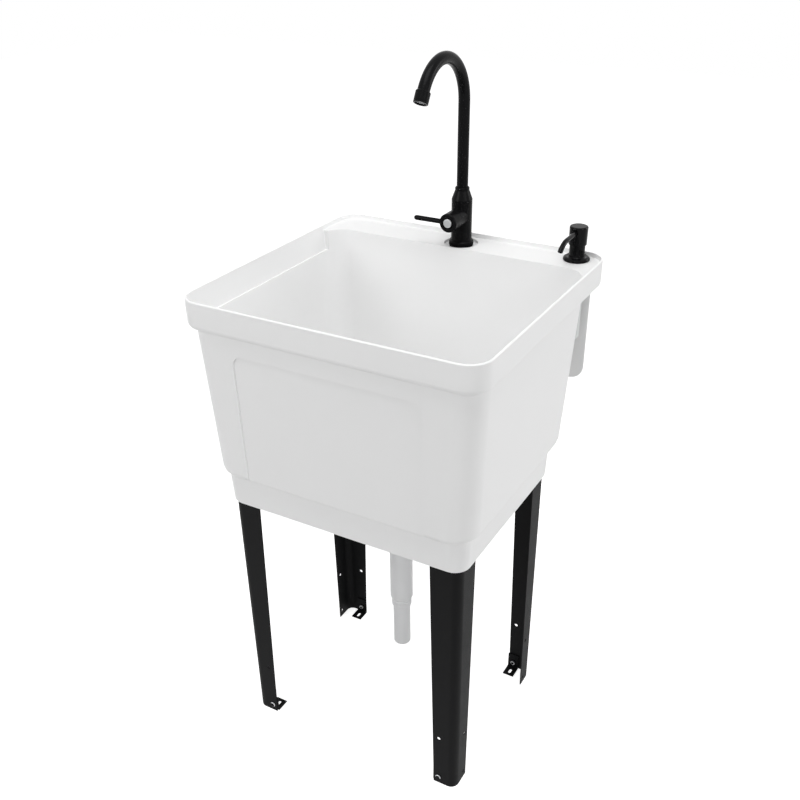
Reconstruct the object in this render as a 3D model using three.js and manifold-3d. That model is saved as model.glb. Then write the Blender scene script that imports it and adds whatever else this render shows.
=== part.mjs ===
// A free-standing utility laundry sink: a moulded plastic tub on four bent steel legs, with a gooseneck
// tap, a soap pump and a drain. Millimetres, +Z up, front towards -Y. The origin is on the floor,
// under the centre of the rim.
import * as THREE from "three";
import { mergeVertices } from "three/addons/utils/BufferGeometryUtils.js";
import Module from "manifold-3d";

const wasm = await Module();
wasm.setup();

// ---------------------------------------------------------------- driving dimensions

const GAP = 0.3; // air between pieces that touch

// Tub
const RIM_WIDTH = 500;
const RIM_DEPTH = 480;
const RIM_TOP = 840; // height above the floor
const RIM_CORNER = 36;
const BAND_HEIGHT = 46; // the outer band round the rim
const BAND_EDGE = 9; // rounding of the band's lower edge
const BAND_LIP = 2; // rounding of the rim's top edge
const WALL = 3.5;
const BODY_STEP = 7; // the body stands this far inside the band
const BODY_DEPTH = 304; // rim top to the underside of the tub's floor
const BODY_CORNER = 42;
const BODY_EDGE = 12; // rounding of the body's lower edge
const SIDE_DRAFT = 12;
const FRONT_DRAFT = 7;
const BACK_DRAFT = 17.5;
const DECK_DEPTH = 68; // the shelf behind the basin, from the back of the rim
const DECK_DROP = 8; // the deck lies this far below the rim
const DECK_CORNER = 4;
const LEDGE = 3; // width of the shoulder between the rim's hollow and the basin
const RIM_HOLLOW_END = 22; // the rim's wider hollow ends this far in front of the deck
const FLOOR_FALL = 6; // the basin's floor slopes down to the drain
const BASIN_FILLET = 28;
const SKIRT_HEIGHT = 56; // the ring under the body that holds the legs
const SKIRT_INSET = 11;
const SKIRT_BACK_INSET = 26;
const SKIRT_DRAFT = 2;
const SKIRT_CORNER = 26;
const PANEL_HALF_WIDTH = 160; // recessed field on the front
const PANEL_TOP_DROP = 30; // from the band's underside to the recess
const PANEL_DEPTH = 2.5;
const PANEL_CORNER = 17;
const CUTTER_MARGIN = 2; // by which a cutting shape stands out of what it cuts
const REAR_PANEL_HALF_WIDTH = 225.5;
const REAR_PANEL_DROP = 185; // hangs this far below the band
const REAR_PANEL_CORNER = 24;

// Legs and feet
const LEG_SHEET = 1.8;
const LEG_BEND = 15; // outer radius of the leg's bend
const LEG_PLAY = 2.6; // between a leg and the flat of the skirt's wall
const SOCKET_PLAY = 0.4; // between a leg and its socket's rib
const LEG_TOP_PLAY = 3;
const FLANGE_AT_FLOOR = 42;
const FLANGE_AT_TOP = 54;
const LEG_HOLE_DIAMETER = 6.5;
const LEG_HOLE_INSET = 33; // from the leg's corner faces
const LEG_HOLE_HEIGHT = 110;
const FOOT_BOLT_HEIGHT = 14;
const SOCKET_DEPTH = 30;
const SOCKET_WALL = 2.5;
const SOCKET_ARM = 46;
const BRACKET_SHEET = 2;
const BRACKET_WIDTH = 22;
const BRACKET_HEIGHT = 34;
const BRACKET_REACH = 27;
const BRACKET_BEND = 3.5;
const SLOT_WIDTH = 5.5;
const SLOT_LENGTH = 12;
const BOLT_DIAMETER = 5;
const BOLT_HEAD_DIAMETER = 10;
const BOLT_HEAD_HEIGHT = 2.6;
const NUT_ACROSS = 8;
const NUT_HEIGHT = 3.6;
const LEG_SCREW_DIAMETER = 4;
const LEG_SCREW_HEAD_DIAMETER = 8;
const LEG_SCREW_HEAD_HEIGHT = 2.2;

// Drain
const DRAIN_OFFSET = 18; // behind the middle of the tub's floor
const DRAIN_FLANGE_DIAMETER = 86;
const DRAIN_FLANGE_HEIGHT = 2.6;
const DRAIN_CUP_DIAMETER = 68;
const DRAIN_CUP_DEPTH = 35;
const DRAIN_CUP_WALL = 2.6;
const DRAIN_NECK_DIAMETER = 36;
const DRAIN_NECK_LENGTH = 20;
const DRAIN_GASKET_HEIGHT = 3;
const DRAIN_NUT_DIAMETER = 92;
const DRAIN_NUT_HEIGHT = 9;
const UPPER_TUBE_DIAMETER = 42;
const UPPER_TUBE_BOTTOM = 207;
const TUBE_WALL = 2;
const TAPER_LENGTH = 8;
const BEAD_DIAMETER = 37.5;
const BEAD_HEIGHT = 10;
const LOWER_TUBE_DIAMETER = 32;
const LOWER_TUBE_BOTTOM = 107;
const LOWER_TUBE_OVERLAP = 26; // hidden inside the upper tube
const BASKET_CLEARANCE = 1.2;
const BASKET_DEPTH = 24;
const BASKET_WALL = 1.6;
const BASKET_HOLE_DIAMETER = 5;
const BASKET_HOLES = 8;
const KNOB_DIAMETER = 18;
const KNOB_HEIGHT = 14;

// Tap
const TAP_FROM_BACK = 36; // its axis from the back of the rim
const TAP_RECESS_DIAMETER = 57;
const TAP_RECESS_DEPTH = 5;
const TAP_HOLE_DIAMETER = 24;
const TAP_FLANGE_DIAMETER = 42;
const TAP_FLANGE_HEIGHT = 9.5;
const TAP_BODY_DIAMETER = 35;
const TAP_BODY_HEIGHT = 74.5; // from its underside to the bonnet
const BONNET_HEIGHT = 23;
const BONNET_TOP_DIAMETER = 24;
const SPOUT_DIAMETER = 19;
const SPOUT_WALL = 1.6;
const SPOUT_SEAT = 20; // how far the spout goes down into the body
const SPOUT_RADIUS = 73; // centre line of the bow
const SPOUT_RISE = 135; // straight part above the bonnet
const SPOUT_BOW_DEGREES = 150;
const SPOUT_STUB = 7;
const AERATOR_DIAMETER = 23;
const AERATOR_LENGTH = 18;
const AERATOR_LIP = 3;
const BARREL_DIAMETER = 31;
const BARREL_DROP = 24.5; // its axis below the body's top
const BARREL_LENGTH = 29.5; // from the body's axis to the lever hub
const HUB_LENGTH = 23.7;
const STEM_DIAMETER = 8; // the valve's stem, which the hub turns
const STEM_ENGAGEMENT = 11; // how far it goes into the hub
const VALVE_DIAMETER = 19;
const VALVE_LENGTH = 16;
const CAP_DIAMETER = 14.4;
const CAP_THICKNESS = 2.4;
const LEVER_PLACE = 17; // its axis from the hub's foot
const LEVER_REACH = 65; // from the barrel's axis to the tip
const LEVER_ROOT_DIAMETER = 8;
const LEVER_TIP_DIAMETER = 8.2;
const LEVER_STUD_DIAMETER = 4.6;
const LEVER_STUD_LENGTH = 5;
const SHANK_DIAMETER = 20;
const SHANK_BORE = 12;
const SHANK_DROP = 46; // below the tap's body
const SHANK_GRIP = 16; // up inside the body
const WASHER_HEIGHT = 4.5;
const PLATE_HEIGHT = 1.6;
const TAP_NUT_ACROSS = 30;
const TAP_NUT_HEIGHT = 10;

// Soap pump
const PUMP_FROM_SIDE = 46.2; // its axis from the side of the rim
const PUMP_FROM_BACK = 26.2;
const PUMP_FLANGE_DIAMETER = 44;
const PUMP_FLANGE_HEIGHT = 6.5;
const PUMP_NECK_DIAMETER = 25.6;
const PUMP_NECK_HEIGHT = 27; // above the deck
const PUMP_SHANK_DIAMETER = 21;
const PUMP_SHANK_DROP = 32; // below the deck's top
const PUMP_BORE = 17.6;
const PUMP_NUT_DIAMETER = 38;
const PUMP_NUT_HEIGHT = 7;
const HEAD_BOTTOM_DIAMETER = 29.4;
const HEAD_TOP_DIAMETER = 30.2;
const HEAD_HEIGHT = 30;
const HEAD_HOLLOW = 16;
const HEAD_LIFT = 26; // the head's lower edge above the deck, at rest
const STROKE = 14;
const NOZZLE_DIAMETER = 8.2;
const NOZZLE_BORE = 4.6;
const NOZZLE_REACH = 79; // from the pump's axis to the tip
const NOZZLE_BEND = 38; // radius of the bend at its end
const NOZZLE_DROP_DEGREES = 44;
const NOZZLE_HEIGHT = 21.5; // above the head's lower edge
const CHAMBER_WALL = 1.5;
const CHAMBER_LENGTH = 78;
const CHAMBER_LID = 3;
const PISTON_HEIGHT = 6;
const PISTON_DROP = 38; // top of the piston below the chamber's top
const PLUNGER_DIAMETER = 6.4;
const SPRING_WIRE = 1;
const SPRING_TURNS = 7;
const BOTTLE_DIAMETER = 30;
const BOTTLE_NECK_DIAMETER = 25;
const BOTTLE_WALL = 1.3;
const BOTTLE_HEIGHT = 122;
const BOTTLE_NECK_HEIGHT = 40;
const BOTTLE_SHOULDER = 8;
const DIP_TUBE_DIAMETER = 4.4;
const DIP_TUBE_BORE = 2.6;
const DIP_TUBE_CLEARANCE = 8; // above the bottle's floor

// Smoothness
const CORNER_STEPS = 6; // flats along a rounded corner
const BEND_STEPS = 4; // flats along a bend in sheet metal
const BOW_STEPS = 16; // straight lengths along the spout's bow
const FINE = 32; // faces round a large turned piece
const ROUND = 24; // round a middling one
const COARSE = 16; // round a small or hidden one
const SMALL = 10; // round a screw or a drilled hole

// ---------------------------------------------------------------- places that follow from them

const halfWidth = RIM_WIDTH / 2;
const halfDepth = RIM_DEPTH / 2;
const bandBottom = RIM_TOP - BAND_HEIGHT;
const underside = RIM_TOP - BODY_DEPTH;
const skirtBottom = underside - SKIRT_HEIGHT;
const deckTop = RIM_TOP - DECK_DROP;
const deckUnder = deckTop - WALL;
const deckFront = halfDepth - DECK_DEPTH;
const drainSeat = underside + WALL;
const tapY = halfDepth - TAP_FROM_BACK;
const pumpX = halfWidth - PUMP_FROM_SIDE;
const pumpY = halfDepth - PUMP_FROM_BACK;

// The body's plan at a height: it narrows towards the underside.
function bodyPlan(z) {
  const t = (z - underside) / (bandBottom - underside);
  const top = {
    left: -(halfWidth - BODY_STEP),
    right: halfWidth - BODY_STEP,
    front: -(halfDepth - BODY_STEP),
    back: deckFront + WALL,
  };
  return {
    left: top.left + SIDE_DRAFT * (1 - t),
    right: top.right - SIDE_DRAFT * (1 - t),
    front: top.front + FRONT_DRAFT * (1 - t),
    back: top.back - BACK_DRAFT * (1 - t),
    corner: BODY_CORNER,
  };
}

const floorPlan = bodyPlan(underside);
const drainY = (floorPlan.front + floorPlan.back) / 2 + DRAIN_OFFSET;

// The skirt's plan at a height.
function skirtPlan(z) {
  const spread = SKIRT_DRAFT * ((z - underside) / SKIRT_HEIGHT);
  return {
    left: floorPlan.left + SKIRT_INSET - spread,
    right: floorPlan.right - SKIRT_INSET + spread,
    front: floorPlan.front + SKIRT_INSET - spread,
    back: floorPlan.back - SKIRT_BACK_INSET + spread,
    corner: SKIRT_CORNER,
  };
}

const bandPlan = {
  left: -halfWidth,
  right: halfWidth,
  front: -halfDepth,
  back: halfDepth,
  corner: RIM_CORNER,
};

const skirtFoot = skirtPlan(skirtBottom);
const legPlan = shrink(skirtFoot, WALL + LEG_PLAY);
const legTop = underside - LEG_TOP_PLAY;

// ---------------------------------------------------------------- shaping

// A geometry as a solid that can be joined and cut. A surface that faces inwards is turned round.
function toSolid(shape) {
  if (!(shape instanceof THREE.BufferGeometry)) return shape;
  const plain = shape.index ? shape.toNonIndexed() : shape;
  const bare = new THREE.BufferGeometry();
  bare.setAttribute("position", plain.getAttribute("position"));
  const merged = mergeVertices(bare, 1e-4);
  const corners = Array.from(merged.index.array);
  const index = [];
  for (let i = 0; i < corners.length; i += 3) {
    const [a, b, c] = corners.slice(i, i + 3);
    if (a !== b && b !== c && c !== a) index.push(a, b, c);
  }
  const build = (triangles) =>
    new wasm.Manifold(
      new wasm.Mesh({
        numProp: 3,
        vertProperties: new Float32Array(merged.getAttribute("position").array),
        triVerts: new Uint32Array(triangles),
      }),
    );
  const made = build(index);
  return made.volume() < 0 ? build(index.reverse()) : made;
}

function toGeometry(shape) {
  if (shape instanceof THREE.BufferGeometry) return shape;
  const mesh = shape.getMesh();
  const geometry = new THREE.BufferGeometry();
  geometry.setAttribute("position", new THREE.BufferAttribute(mesh.vertProperties, 3));
  geometry.setIndex(new THREE.BufferAttribute(mesh.triVerts, 1));
  geometry.computeVertexNormals();
  return geometry;
}

const join = (...shapes) => shapes.map(toSolid).reduce((a, b) => a.add(b));
const cut = (shape, ...tools) => tools.map(toSolid).reduce((a, b) => a.subtract(b), toSolid(shape));

// A plan with every side moved in by a distance.
function shrink(plan, inset) {
  return {
    left: plan.left + inset,
    right: plan.right - inset,
    front: plan.front + inset,
    back: plan.back - inset,
    corner: Math.max(plan.corner - inset, 1),
    backCorner: plan.backCorner && Math.max(plan.backCorner - inset, 1),
  };
}

// A plan's outline with rounded corners, counter-clockwise from above, as points at height z.
function ring(plan, z) {
  const back = plan.backCorner ?? plan.corner;
  const corners = [
    [plan.right, plan.front, plan.corner, -90],
    [plan.right, plan.back, back, 0],
    [plan.left, plan.back, back, 90],
    [plan.left, plan.front, plan.corner, 180],
  ];
  return corners.flatMap(([x, y, radius, start]) => {
    const cx = x - Math.sign(x - (plan.left + plan.right) / 2) * radius;
    const cy = y - Math.sign(y - (plan.front + plan.back) / 2) * radius;
    return Array.from({ length: CORNER_STEPS + 1 }, (_, i) => {
      const angle = THREE.MathUtils.degToRad(start + (90 * i) / CORNER_STEPS);
      return [cx + radius * Math.cos(angle), cy + radius * Math.sin(angle), z];
    });
  });
}

// A circle as a ring whose points match the corners of a plan's ring.
function circleRing(x, y, radius, z) {
  const around = { left: x - radius, right: x + radius, front: y - radius, back: y + radius };
  return ring({ ...around, corner: radius }, z);
}

// A closed body through level rings of equally many points, from the lowest to the highest.
function loft(rings) {
  const count = rings[0].length;
  const index = [];
  for (let r = 0; r + 1 < rings.length; r++) {
    for (let i = 0; i < count; i++) {
      const a = r * count + i;
      const b = r * count + ((i + 1) % count);
      index.push(a, b, b + count, a, b + count, a + count);
    }
  }
  const lid = (level, flip) => {
    const flat = rings[level].map(([x, y]) => new THREE.Vector2(x, y));
    for (const corners of THREE.ShapeUtils.triangulateShape(flat, [])) {
      const [a, b, c] = corners.map((i) => level * count + i);
      index.push(...(flip ? [a, c, b] : [a, b, c]));
    }
  };
  lid(0, true);
  lid(rings.length - 1, false);
  const geometry = new THREE.BufferGeometry();
  geometry.setAttribute("position", new THREE.Float32BufferAttribute(rings.flat(2), 3));
  geometry.setIndex(index);
  return geometry;
}

// A shape turned about the vertical axis from [radius, height] pairs. An outline that doesn't reach
// the axis closes on itself, as a tube does.
function turned(profile, faces = ROUND) {
  const points = profile.map(([radius, height]) => new THREE.Vector2(radius, height));
  if (profile[0][0] > 0) points.push(points[0].clone());
  return new THREE.LatheGeometry(points, faces).rotateX(Math.PI / 2);
}

const disc = (radius, bottom, top, faces = ROUND) =>
  turned([[0, bottom], [radius, bottom], [radius, top], [0, top]], faces);

const tube = (inner, outer, bottom, top, faces = ROUND) =>
  turned([[inner, bottom], [outer, bottom], [outer, top], [inner, top]], faces);

// A turned shape laid down, so that its axis runs along -Y and its foot is at y = 0.
const laidForward = (geometry) => geometry.rotateX(Math.PI / 2);

// A hexagonal bar, as wide across its flats as given.
const hexagon = (across, bottom, top) => disc(across / Math.sqrt(3), bottom, top, 6);

// Quarter-circle steps of a rounded edge: [inset, rise] from the lowest point to where it is upright.
function edgeSteps(radius, steps) {
  return Array.from({ length: steps + 1 }, (_, i) => {
    const angle = (Math.PI / 2) * (i / steps);
    return [radius * (1 - Math.sin(angle)), radius * (1 - Math.cos(angle))];
  });
}

// ---------------------------------------------------------------- finishes

const finish = (color, roughness, metalness = 0) =>
  new THREE.MeshStandardMaterial({ color, roughness, metalness });

const whitePlastic = finish(0xf3f3f2, 0.42);
const blackSteel = finish(0x1b1b1c, 0.5, 0.3);
const satinBlack = finish(0x18181a, 0.38, 0.4);
const glossBlack = finish(0x0c0c0e, 0.12, 0.2);
const brightSteel = finish(0xc9cbcc, 0.28, 1);
const greyPlastic = finish(0xc2c4c5, 0.5);
const blackRubber = finish(0x222222, 0.85);
const brass = finish(0xb9975a, 0.35, 1);
const clearPlastic = finish(0xe8ecec, 0.3);

const sink = new THREE.Group();

// A named piece of the sink, placed by a group or by its own position.
function piece(name, material, shape, parent = sink) {
  const mesh = new THREE.Mesh(toGeometry(shape), material);
  mesh.name = name;
  parent.add(mesh);
  return mesh;
}

function groupAt(x, y, z, parent = sink) {
  const group = new THREE.Group();
  group.position.set(x, y, z);
  parent.add(group);
  return group;
}

// ---------------------------------------------------------------- tub

// The outside of the body, with its rounded lower edge.
function bodyOutside() {
  const foot = edgeSteps(BODY_EDGE, 3).map(([inset, rise]) =>
    ring(shrink(bodyPlan(underside + rise), inset), underside + rise),
  );
  return loft([...foot, ring(bodyPlan(bandBottom + WALL), bandBottom + WALL)]);
}

// The band round the rim: its lower edge curls in to the body, its top edge is eased.
function bandOutside() {
  const foot = edgeSteps(BAND_EDGE, 3).map(([inset, rise]) =>
    ring(shrink(bandPlan, (inset * BODY_STEP) / BAND_EDGE), bandBottom + rise),
  );
  return loft([
    ...foot,
    ring(bandPlan, RIM_TOP - BAND_LIP),
    ring(shrink(bandPlan, BAND_LIP * 0.3), RIM_TOP - BAND_LIP * 0.3),
    ring(shrink(bandPlan, BAND_LIP), RIM_TOP),
  ]);
}

// The hollow of the basin, from the drain up past the front of the deck.
function basinHollow() {
  const floor = drainSeat + FLOOR_FALL;
  const insideAt = (z) => shrink(bodyPlan(z), WALL);
  const fillet = edgeSteps(BASIN_FILLET, 4).map(([inset, rise]) =>
    ring(shrink(insideAt(floor + rise), inset), floor + rise),
  );
  return loft([
    circleRing(0, drainY, DRAIN_FLANGE_DIAMETER / 2 + 2, drainSeat),
    ...fillet,
    ring(insideAt(bandBottom), bandBottom),
    ring(insideAt(bandBottom), deckTop + 1),
  ]);
}

// The wider hollow inside the band, which stands on a narrow ledge and ends in front of the deck.
function rimHollow() {
  const inside = { ...shrink(bandPlan, WALL), back: deckFront - RIM_HOLLOW_END, backCorner: DECK_CORNER };
  const foot = { ...shrink(inside, BODY_STEP - LEDGE), back: inside.back };
  return loft([
    ring(foot, bandBottom + WALL),
    ring(inside, deckTop),
    ring(inside, RIM_TOP + 1),
  ]);
}

// The space under the deck and round the basin's back corners: open below, with the band's lower edge
// curled in.
function deckHollow() {
  const plan = { ...bandPlan, corner: DECK_CORNER, backCorner: RIM_CORNER };
  const inside = { ...shrink(plan, WALL), front: deckFront - RIM_HOLLOW_END + WALL };
  const curled = { ...shrink(inside, BODY_STEP), front: inside.front, back: inside.back };
  const basinWall = loft([ring(bodyPlan(bandBottom), bandBottom - 2), ring(bodyPlan(bandBottom), deckTop)]);
  const space = loft([
    ring(curled, bandBottom - 1),
    ring(curled, bandBottom + WALL),
    ring(inside, bandBottom + WALL + BAND_EDGE / 2),
    ring(inside, deckUnder),
  ]);
  return cut(space, basinWall);
}

// The recessed field on the front: it runs out through the body's lower edge.
function frontPanel(extra, depth) {
  const half = PANEL_HALF_WIDTH + extra;
  const top = bandBottom - PANEL_TOP_DROP + extra;
  const bottom = underside - 1;
  const radius = PANEL_CORNER + extra;
  const shape = new THREE.Shape();
  shape.moveTo(-half, bottom);
  shape.lineTo(half, bottom);
  shape.lineTo(half, top - radius);
  shape.absarc(half - radius, top - radius, radius, 0, Math.PI / 2);
  shape.lineTo(-half + radius, top);
  shape.absarc(-half + radius, top - radius, radius, Math.PI / 2, Math.PI);
  const slab = new THREE.ExtrudeGeometry(shape, {
    depth: depth + CUTTER_MARGIN,
    bevelEnabled: false,
    curveSegments: CORNER_STEPS,
  });
  // Stood up to face the front, sunk to its depth and leant with the body's wall.
  const lean = Math.atan(FRONT_DRAFT / (bandBottom - underside));
  return slab
    .translate(0, -underside, 0)
    .rotateX(Math.PI / 2)
    .translate(0, depth, 0)
    .rotateX(lean)
    .translate(0, floorPlan.front, underside);
}

// The flat wall that hangs from the back of the rim.
function rearPanel() {
  const half = REAR_PANEL_HALF_WIDTH;
  const bottom = bandBottom - REAR_PANEL_DROP;
  const radius = REAR_PANEL_CORNER;
  const shape = new THREE.Shape();
  shape.moveTo(-half, bandBottom + BAND_EDGE);
  shape.lineTo(-half, bottom + radius);
  shape.absarc(-half + radius, bottom + radius, radius, Math.PI, Math.PI * 1.5);
  shape.lineTo(half - radius, bottom);
  shape.absarc(half - radius, bottom + radius, radius, -Math.PI / 2, 0);
  shape.lineTo(half, bandBottom + BAND_EDGE);
  return new THREE.ExtrudeGeometry(shape, { depth: WALL, bevelEnabled: false, curveSegments: CORNER_STEPS })
    .rotateX(Math.PI / 2)
    .translate(0, halfDepth, 0);
}

// The hollow ring under the body.
function skirtRing() {
  const height = (z) => skirtPlan(z);
  const top = underside + WALL / 2;
  const outside = loft([ring(height(skirtBottom), skirtBottom), ring(height(top), top)]);
  const inside = loft([
    ring(shrink(height(skirtBottom - 1), WALL), skirtBottom - 1),
    ring(shrink(height(underside), WALL), underside),
  ]);
  return cut(outside, inside);
}

// Two flanges at a right angle with a rounded bend, as points of one corner: the bend's outer faces
// lie on x = 0 and y = 0 and the flanges run to +X and +Y.
function anglePoints(size, sheet, bend) {
  const arc = (radius, from, to) =>
    Array.from({ length: BEND_STEPS + 1 }, (_, i) => {
      const angle = from + ((to - from) * i) / BEND_STEPS;
      return [bend + radius * Math.cos(angle), bend + radius * Math.sin(angle)];
    });
  return [
    [size, 0],
    [size, sheet],
    ...arc(bend - sheet, Math.PI * 1.5, Math.PI),
    [sheet, size],
    [0, size],
    ...arc(bend, Math.PI, Math.PI * 1.5),
  ];
}

const atHeight = (points, z) => points.map(([x, y]) => [x, y, z]);

// Each corner of the tub: where its leg's outer faces meet, and which way the flanges run.
const corners = [
  { name: "front_left", x: legPlan.left, y: legPlan.front, alongX: 1, alongY: 1 },
  { name: "front_right", x: legPlan.right, y: legPlan.front, alongX: -1, alongY: 1 },
  { name: "back_left", x: legPlan.left, y: legPlan.back, alongX: 1, alongY: -1 },
  { name: "back_right", x: legPlan.right, y: legPlan.back, alongX: -1, alongY: -1 },
];

const socketOffset = LEG_SHEET + SOCKET_PLAY;
const legScrewHeight = underside - SOCKET_DEPTH / 2;

// The rib inside a corner of the skirt that the leg's top is pushed behind.
function legSocket(corner) {
  const points = anglePoints(SOCKET_ARM - socketOffset, SOCKET_WALL, LEG_BEND - socketOffset);
  const rib = loft([
    atHeight(points, underside - SOCKET_DEPTH),
    atHeight(points, underside + WALL / 2),
  ]).translate(socketOffset, socketOffset, 0);
  const hole = laidForward(disc(LEG_SCREW_DIAMETER / 2 + GAP, -SOCKET_WALL * 2, SOCKET_WALL * 2, SMALL))
    .translate(LEG_HOLE_INSET, socketOffset + SOCKET_WALL / 2, legScrewHeight);
  return cut(rib, hole).scale([corner.alongX, corner.alongY, 1]).translate([corner.x, corner.y, 0]);
}

function tubShape() {
  const recessFloor = deckTop - TAP_RECESS_DEPTH;
  const recessRadius = TAP_RECESS_DIAMETER / 2;
  const tapSeat = disc(recessRadius + WALL, recessFloor - WALL, deckUnder + 1, FINE).translate(0, tapY, 0);
  const tapRecess = disc(recessRadius, recessFloor, deckTop + 1, FINE).translate(0, tapY, 0);
  const tapHole = disc(TAP_HOLE_DIAMETER / 2, deckTop - 20, deckTop + 1, COARSE).translate(0, tapY, 0);
  const pumpHole = disc(PUMP_SHANK_DIAMETER / 2 + GAP, deckUnder - 1, deckTop + 1, ROUND)
    .translate(pumpX, pumpY, 0);
  const drainHole = disc(DRAIN_CUP_DIAMETER / 2 + GAP, underside - 1, drainSeat + 1, FINE)
    .translate(0, drainY, 0);
  const body = cut(bodyOutside(), frontPanel(0, PANEL_DEPTH));
  const basin = cut(basinHollow(), frontPanel(WALL, PANEL_DEPTH + WALL));
  const overDeck = loft([
    ring(shrink(bandPlan, WALL), deckTop),
    ring(shrink(bandPlan, WALL), RIM_TOP + 1),
  ]);
  const shell = cut(join(body, bandOutside()), basin, rimHollow(), deckHollow(), overDeck);
  const sockets = corners.map(legSocket);
  return cut(
    join(shell, rearPanel(), skirtRing(), tapSeat, ...sockets),
    tapRecess,
    tapHole,
    pumpHole,
    drainHole,
  );
}

piece("tub", whitePlastic, tubShape());

// ---------------------------------------------------------------- legs and feet

// A group at a corner of the tub, mirrored so that the flanges always run to its +X and +Y.
function cornerGroup(corner) {
  const group = groupAt(corner.x, corner.y, 0);
  group.scale.set(corner.alongX, corner.alongY, 1);
  return group;
}

// A hole through the flange that lies on y = 0, and the same through the other one.
const holeInFront = (diameter, x, z) =>
  laidForward(disc(diameter / 2, -5, 5, SMALL)).translate(x, 0, z);
const holeInSide = (diameter, y, z) =>
  disc(diameter / 2, -5, 5, SMALL).rotateY(Math.PI / 2).translate(0, y, z);

function legShape() {
  const blank = loft([
    atHeight(anglePoints(FLANGE_AT_FLOOR, LEG_SHEET, LEG_BEND), 0),
    atHeight(anglePoints(FLANGE_AT_TOP, LEG_SHEET, LEG_BEND), legTop),
  ]);
  return cut(
    blank,
    holeInFront(LEG_HOLE_DIAMETER, LEG_HOLE_INSET, LEG_HOLE_HEIGHT),
    holeInSide(LEG_HOLE_DIAMETER, LEG_HOLE_INSET, LEG_HOLE_HEIGHT),
    holeInFront(BOLT_DIAMETER + 2 * GAP, LEG_HOLE_INSET, FOOT_BOLT_HEIGHT),
    holeInSide(BOLT_DIAMETER + 2 * GAP, LEG_HOLE_INSET, FOOT_BOLT_HEIGHT),
    holeInFront(LEG_SCREW_DIAMETER + 2 * GAP, LEG_HOLE_INSET, legScrewHeight),
  );
}

// The bent foot plate: a tab behind the flange and a slotted plate on the floor.
function bracketShape() {
  const back = LEG_SHEET + GAP;
  const outer = BRACKET_BEND;
  const inner = BRACKET_BEND - BRACKET_SHEET;
  const shape = new THREE.Shape();
  shape.moveTo(back, BRACKET_HEIGHT);
  shape.lineTo(back, outer);
  shape.absarc(back + outer, outer, outer, Math.PI, Math.PI * 1.5);
  shape.lineTo(back + BRACKET_REACH, 0);
  shape.lineTo(back + BRACKET_REACH, BRACKET_SHEET);
  shape.lineTo(back + outer, BRACKET_SHEET);
  shape.absarc(back + outer, outer, inner, Math.PI * 1.5, Math.PI, true);
  shape.lineTo(back + BRACKET_SHEET, BRACKET_HEIGHT);
  const bent = new THREE.ExtrudeGeometry(shape, {
    depth: BRACKET_WIDTH,
    bevelEnabled: false,
    curveSegments: 3,
  })
    .rotateX(Math.PI / 2)
    .rotateZ(Math.PI / 2)
    .translate(LEG_HOLE_INSET - BRACKET_WIDTH / 2, 0, 0);
  const round = SLOT_WIDTH / 2;
  const half = SLOT_LENGTH / 2 - round;
  const slot = new THREE.Shape();
  slot.absarc(0, half, round, 0, Math.PI);
  slot.absarc(0, -half, round, Math.PI, Math.PI * 2);
  const slotCutter = new THREE.ExtrudeGeometry(slot, {
    depth: 10,
    bevelEnabled: false,
    curveSegments: BEND_STEPS,
  })
    .translate(LEG_HOLE_INSET, back + BRACKET_REACH / 2 + 2, -5);
  return cut(bent, slotCutter, holeInFront(BOLT_DIAMETER + 2 * GAP, LEG_HOLE_INSET, FOOT_BOLT_HEIGHT));
}

// A screw that points to -Z, with the underside of its domed head at z = 0.
function screwShape(diameter, length, headDiameter, headHeight) {
  const head = headDiameter / 2;
  return turned(
    [
      [0, -length],
      [diameter / 2, -length],
      [diameter / 2, 0],
      [head, 0],
      [head, headHeight * 0.35],
      [head * 0.7, headHeight * 0.88],
      [0, headHeight],
    ],
    SMALL,
  );
}

function addLegs() {
  const nutFace = LEG_SHEET + GAP + BRACKET_SHEET + GAP;
  const boltLength = nutFace + GAP + NUT_HEIGHT + 1;
  const bolt = screwShape(BOLT_DIAMETER, boltLength, BOLT_HEAD_DIAMETER, BOLT_HEAD_HEIGHT);
  const nutHole = disc(BOLT_DIAMETER / 2 + GAP, -1, NUT_HEIGHT + 1, SMALL);
  const nut = cut(hexagon(NUT_ACROSS, 0, NUT_HEIGHT), nutHole);
  const screwFace = socketOffset + SOCKET_WALL + GAP;
  const legScrew = screwShape(
    LEG_SCREW_DIAMETER,
    screwFace + LEG_PLAY / 2,
    LEG_SCREW_HEAD_DIAMETER,
    LEG_SCREW_HEAD_HEIGHT,
  );
  for (const corner of corners) {
    const at = cornerGroup(corner);
    piece("leg_" + corner.name, blackSteel, legShape(), at);
    piece("foot_bracket_" + corner.name, blackSteel, bracketShape(), at);
    const footBolt = piece("foot_bolt_" + corner.name, brightSteel, bolt, at);
    footBolt.position.set(LEG_HOLE_INSET, -GAP, FOOT_BOLT_HEIGHT);
    footBolt.rotation.x = Math.PI / 2;
    const footNut = piece("foot_nut_" + corner.name, brightSteel, nut, at);
    footNut.position.set(LEG_HOLE_INSET, nutFace, FOOT_BOLT_HEIGHT);
    footNut.rotation.x = -Math.PI / 2;
    const topScrew = piece("leg_screw_" + corner.name, brightSteel, legScrew, at);
    topScrew.position.set(LEG_HOLE_INSET, screwFace, legScrewHeight);
    topScrew.rotation.x = -Math.PI / 2;
  }
}

addLegs();

// ---------------------------------------------------------------- drain

// Everything here is turned about the drain's axis; heights are above the floor.
const cupRadius = DRAIN_CUP_DIAMETER / 2;
const cupFloor = drainSeat - DRAIN_CUP_DEPTH;
const neckRadius = DRAIN_NECK_DIAMETER / 2;
const upperRadius = UPPER_TUBE_DIAMETER / 2;
const lowerRadius = LOWER_TUBE_DIAMETER / 2;
const basketRadius = cupRadius - DRAIN_CUP_WALL - BASKET_CLEARANCE;

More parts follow.
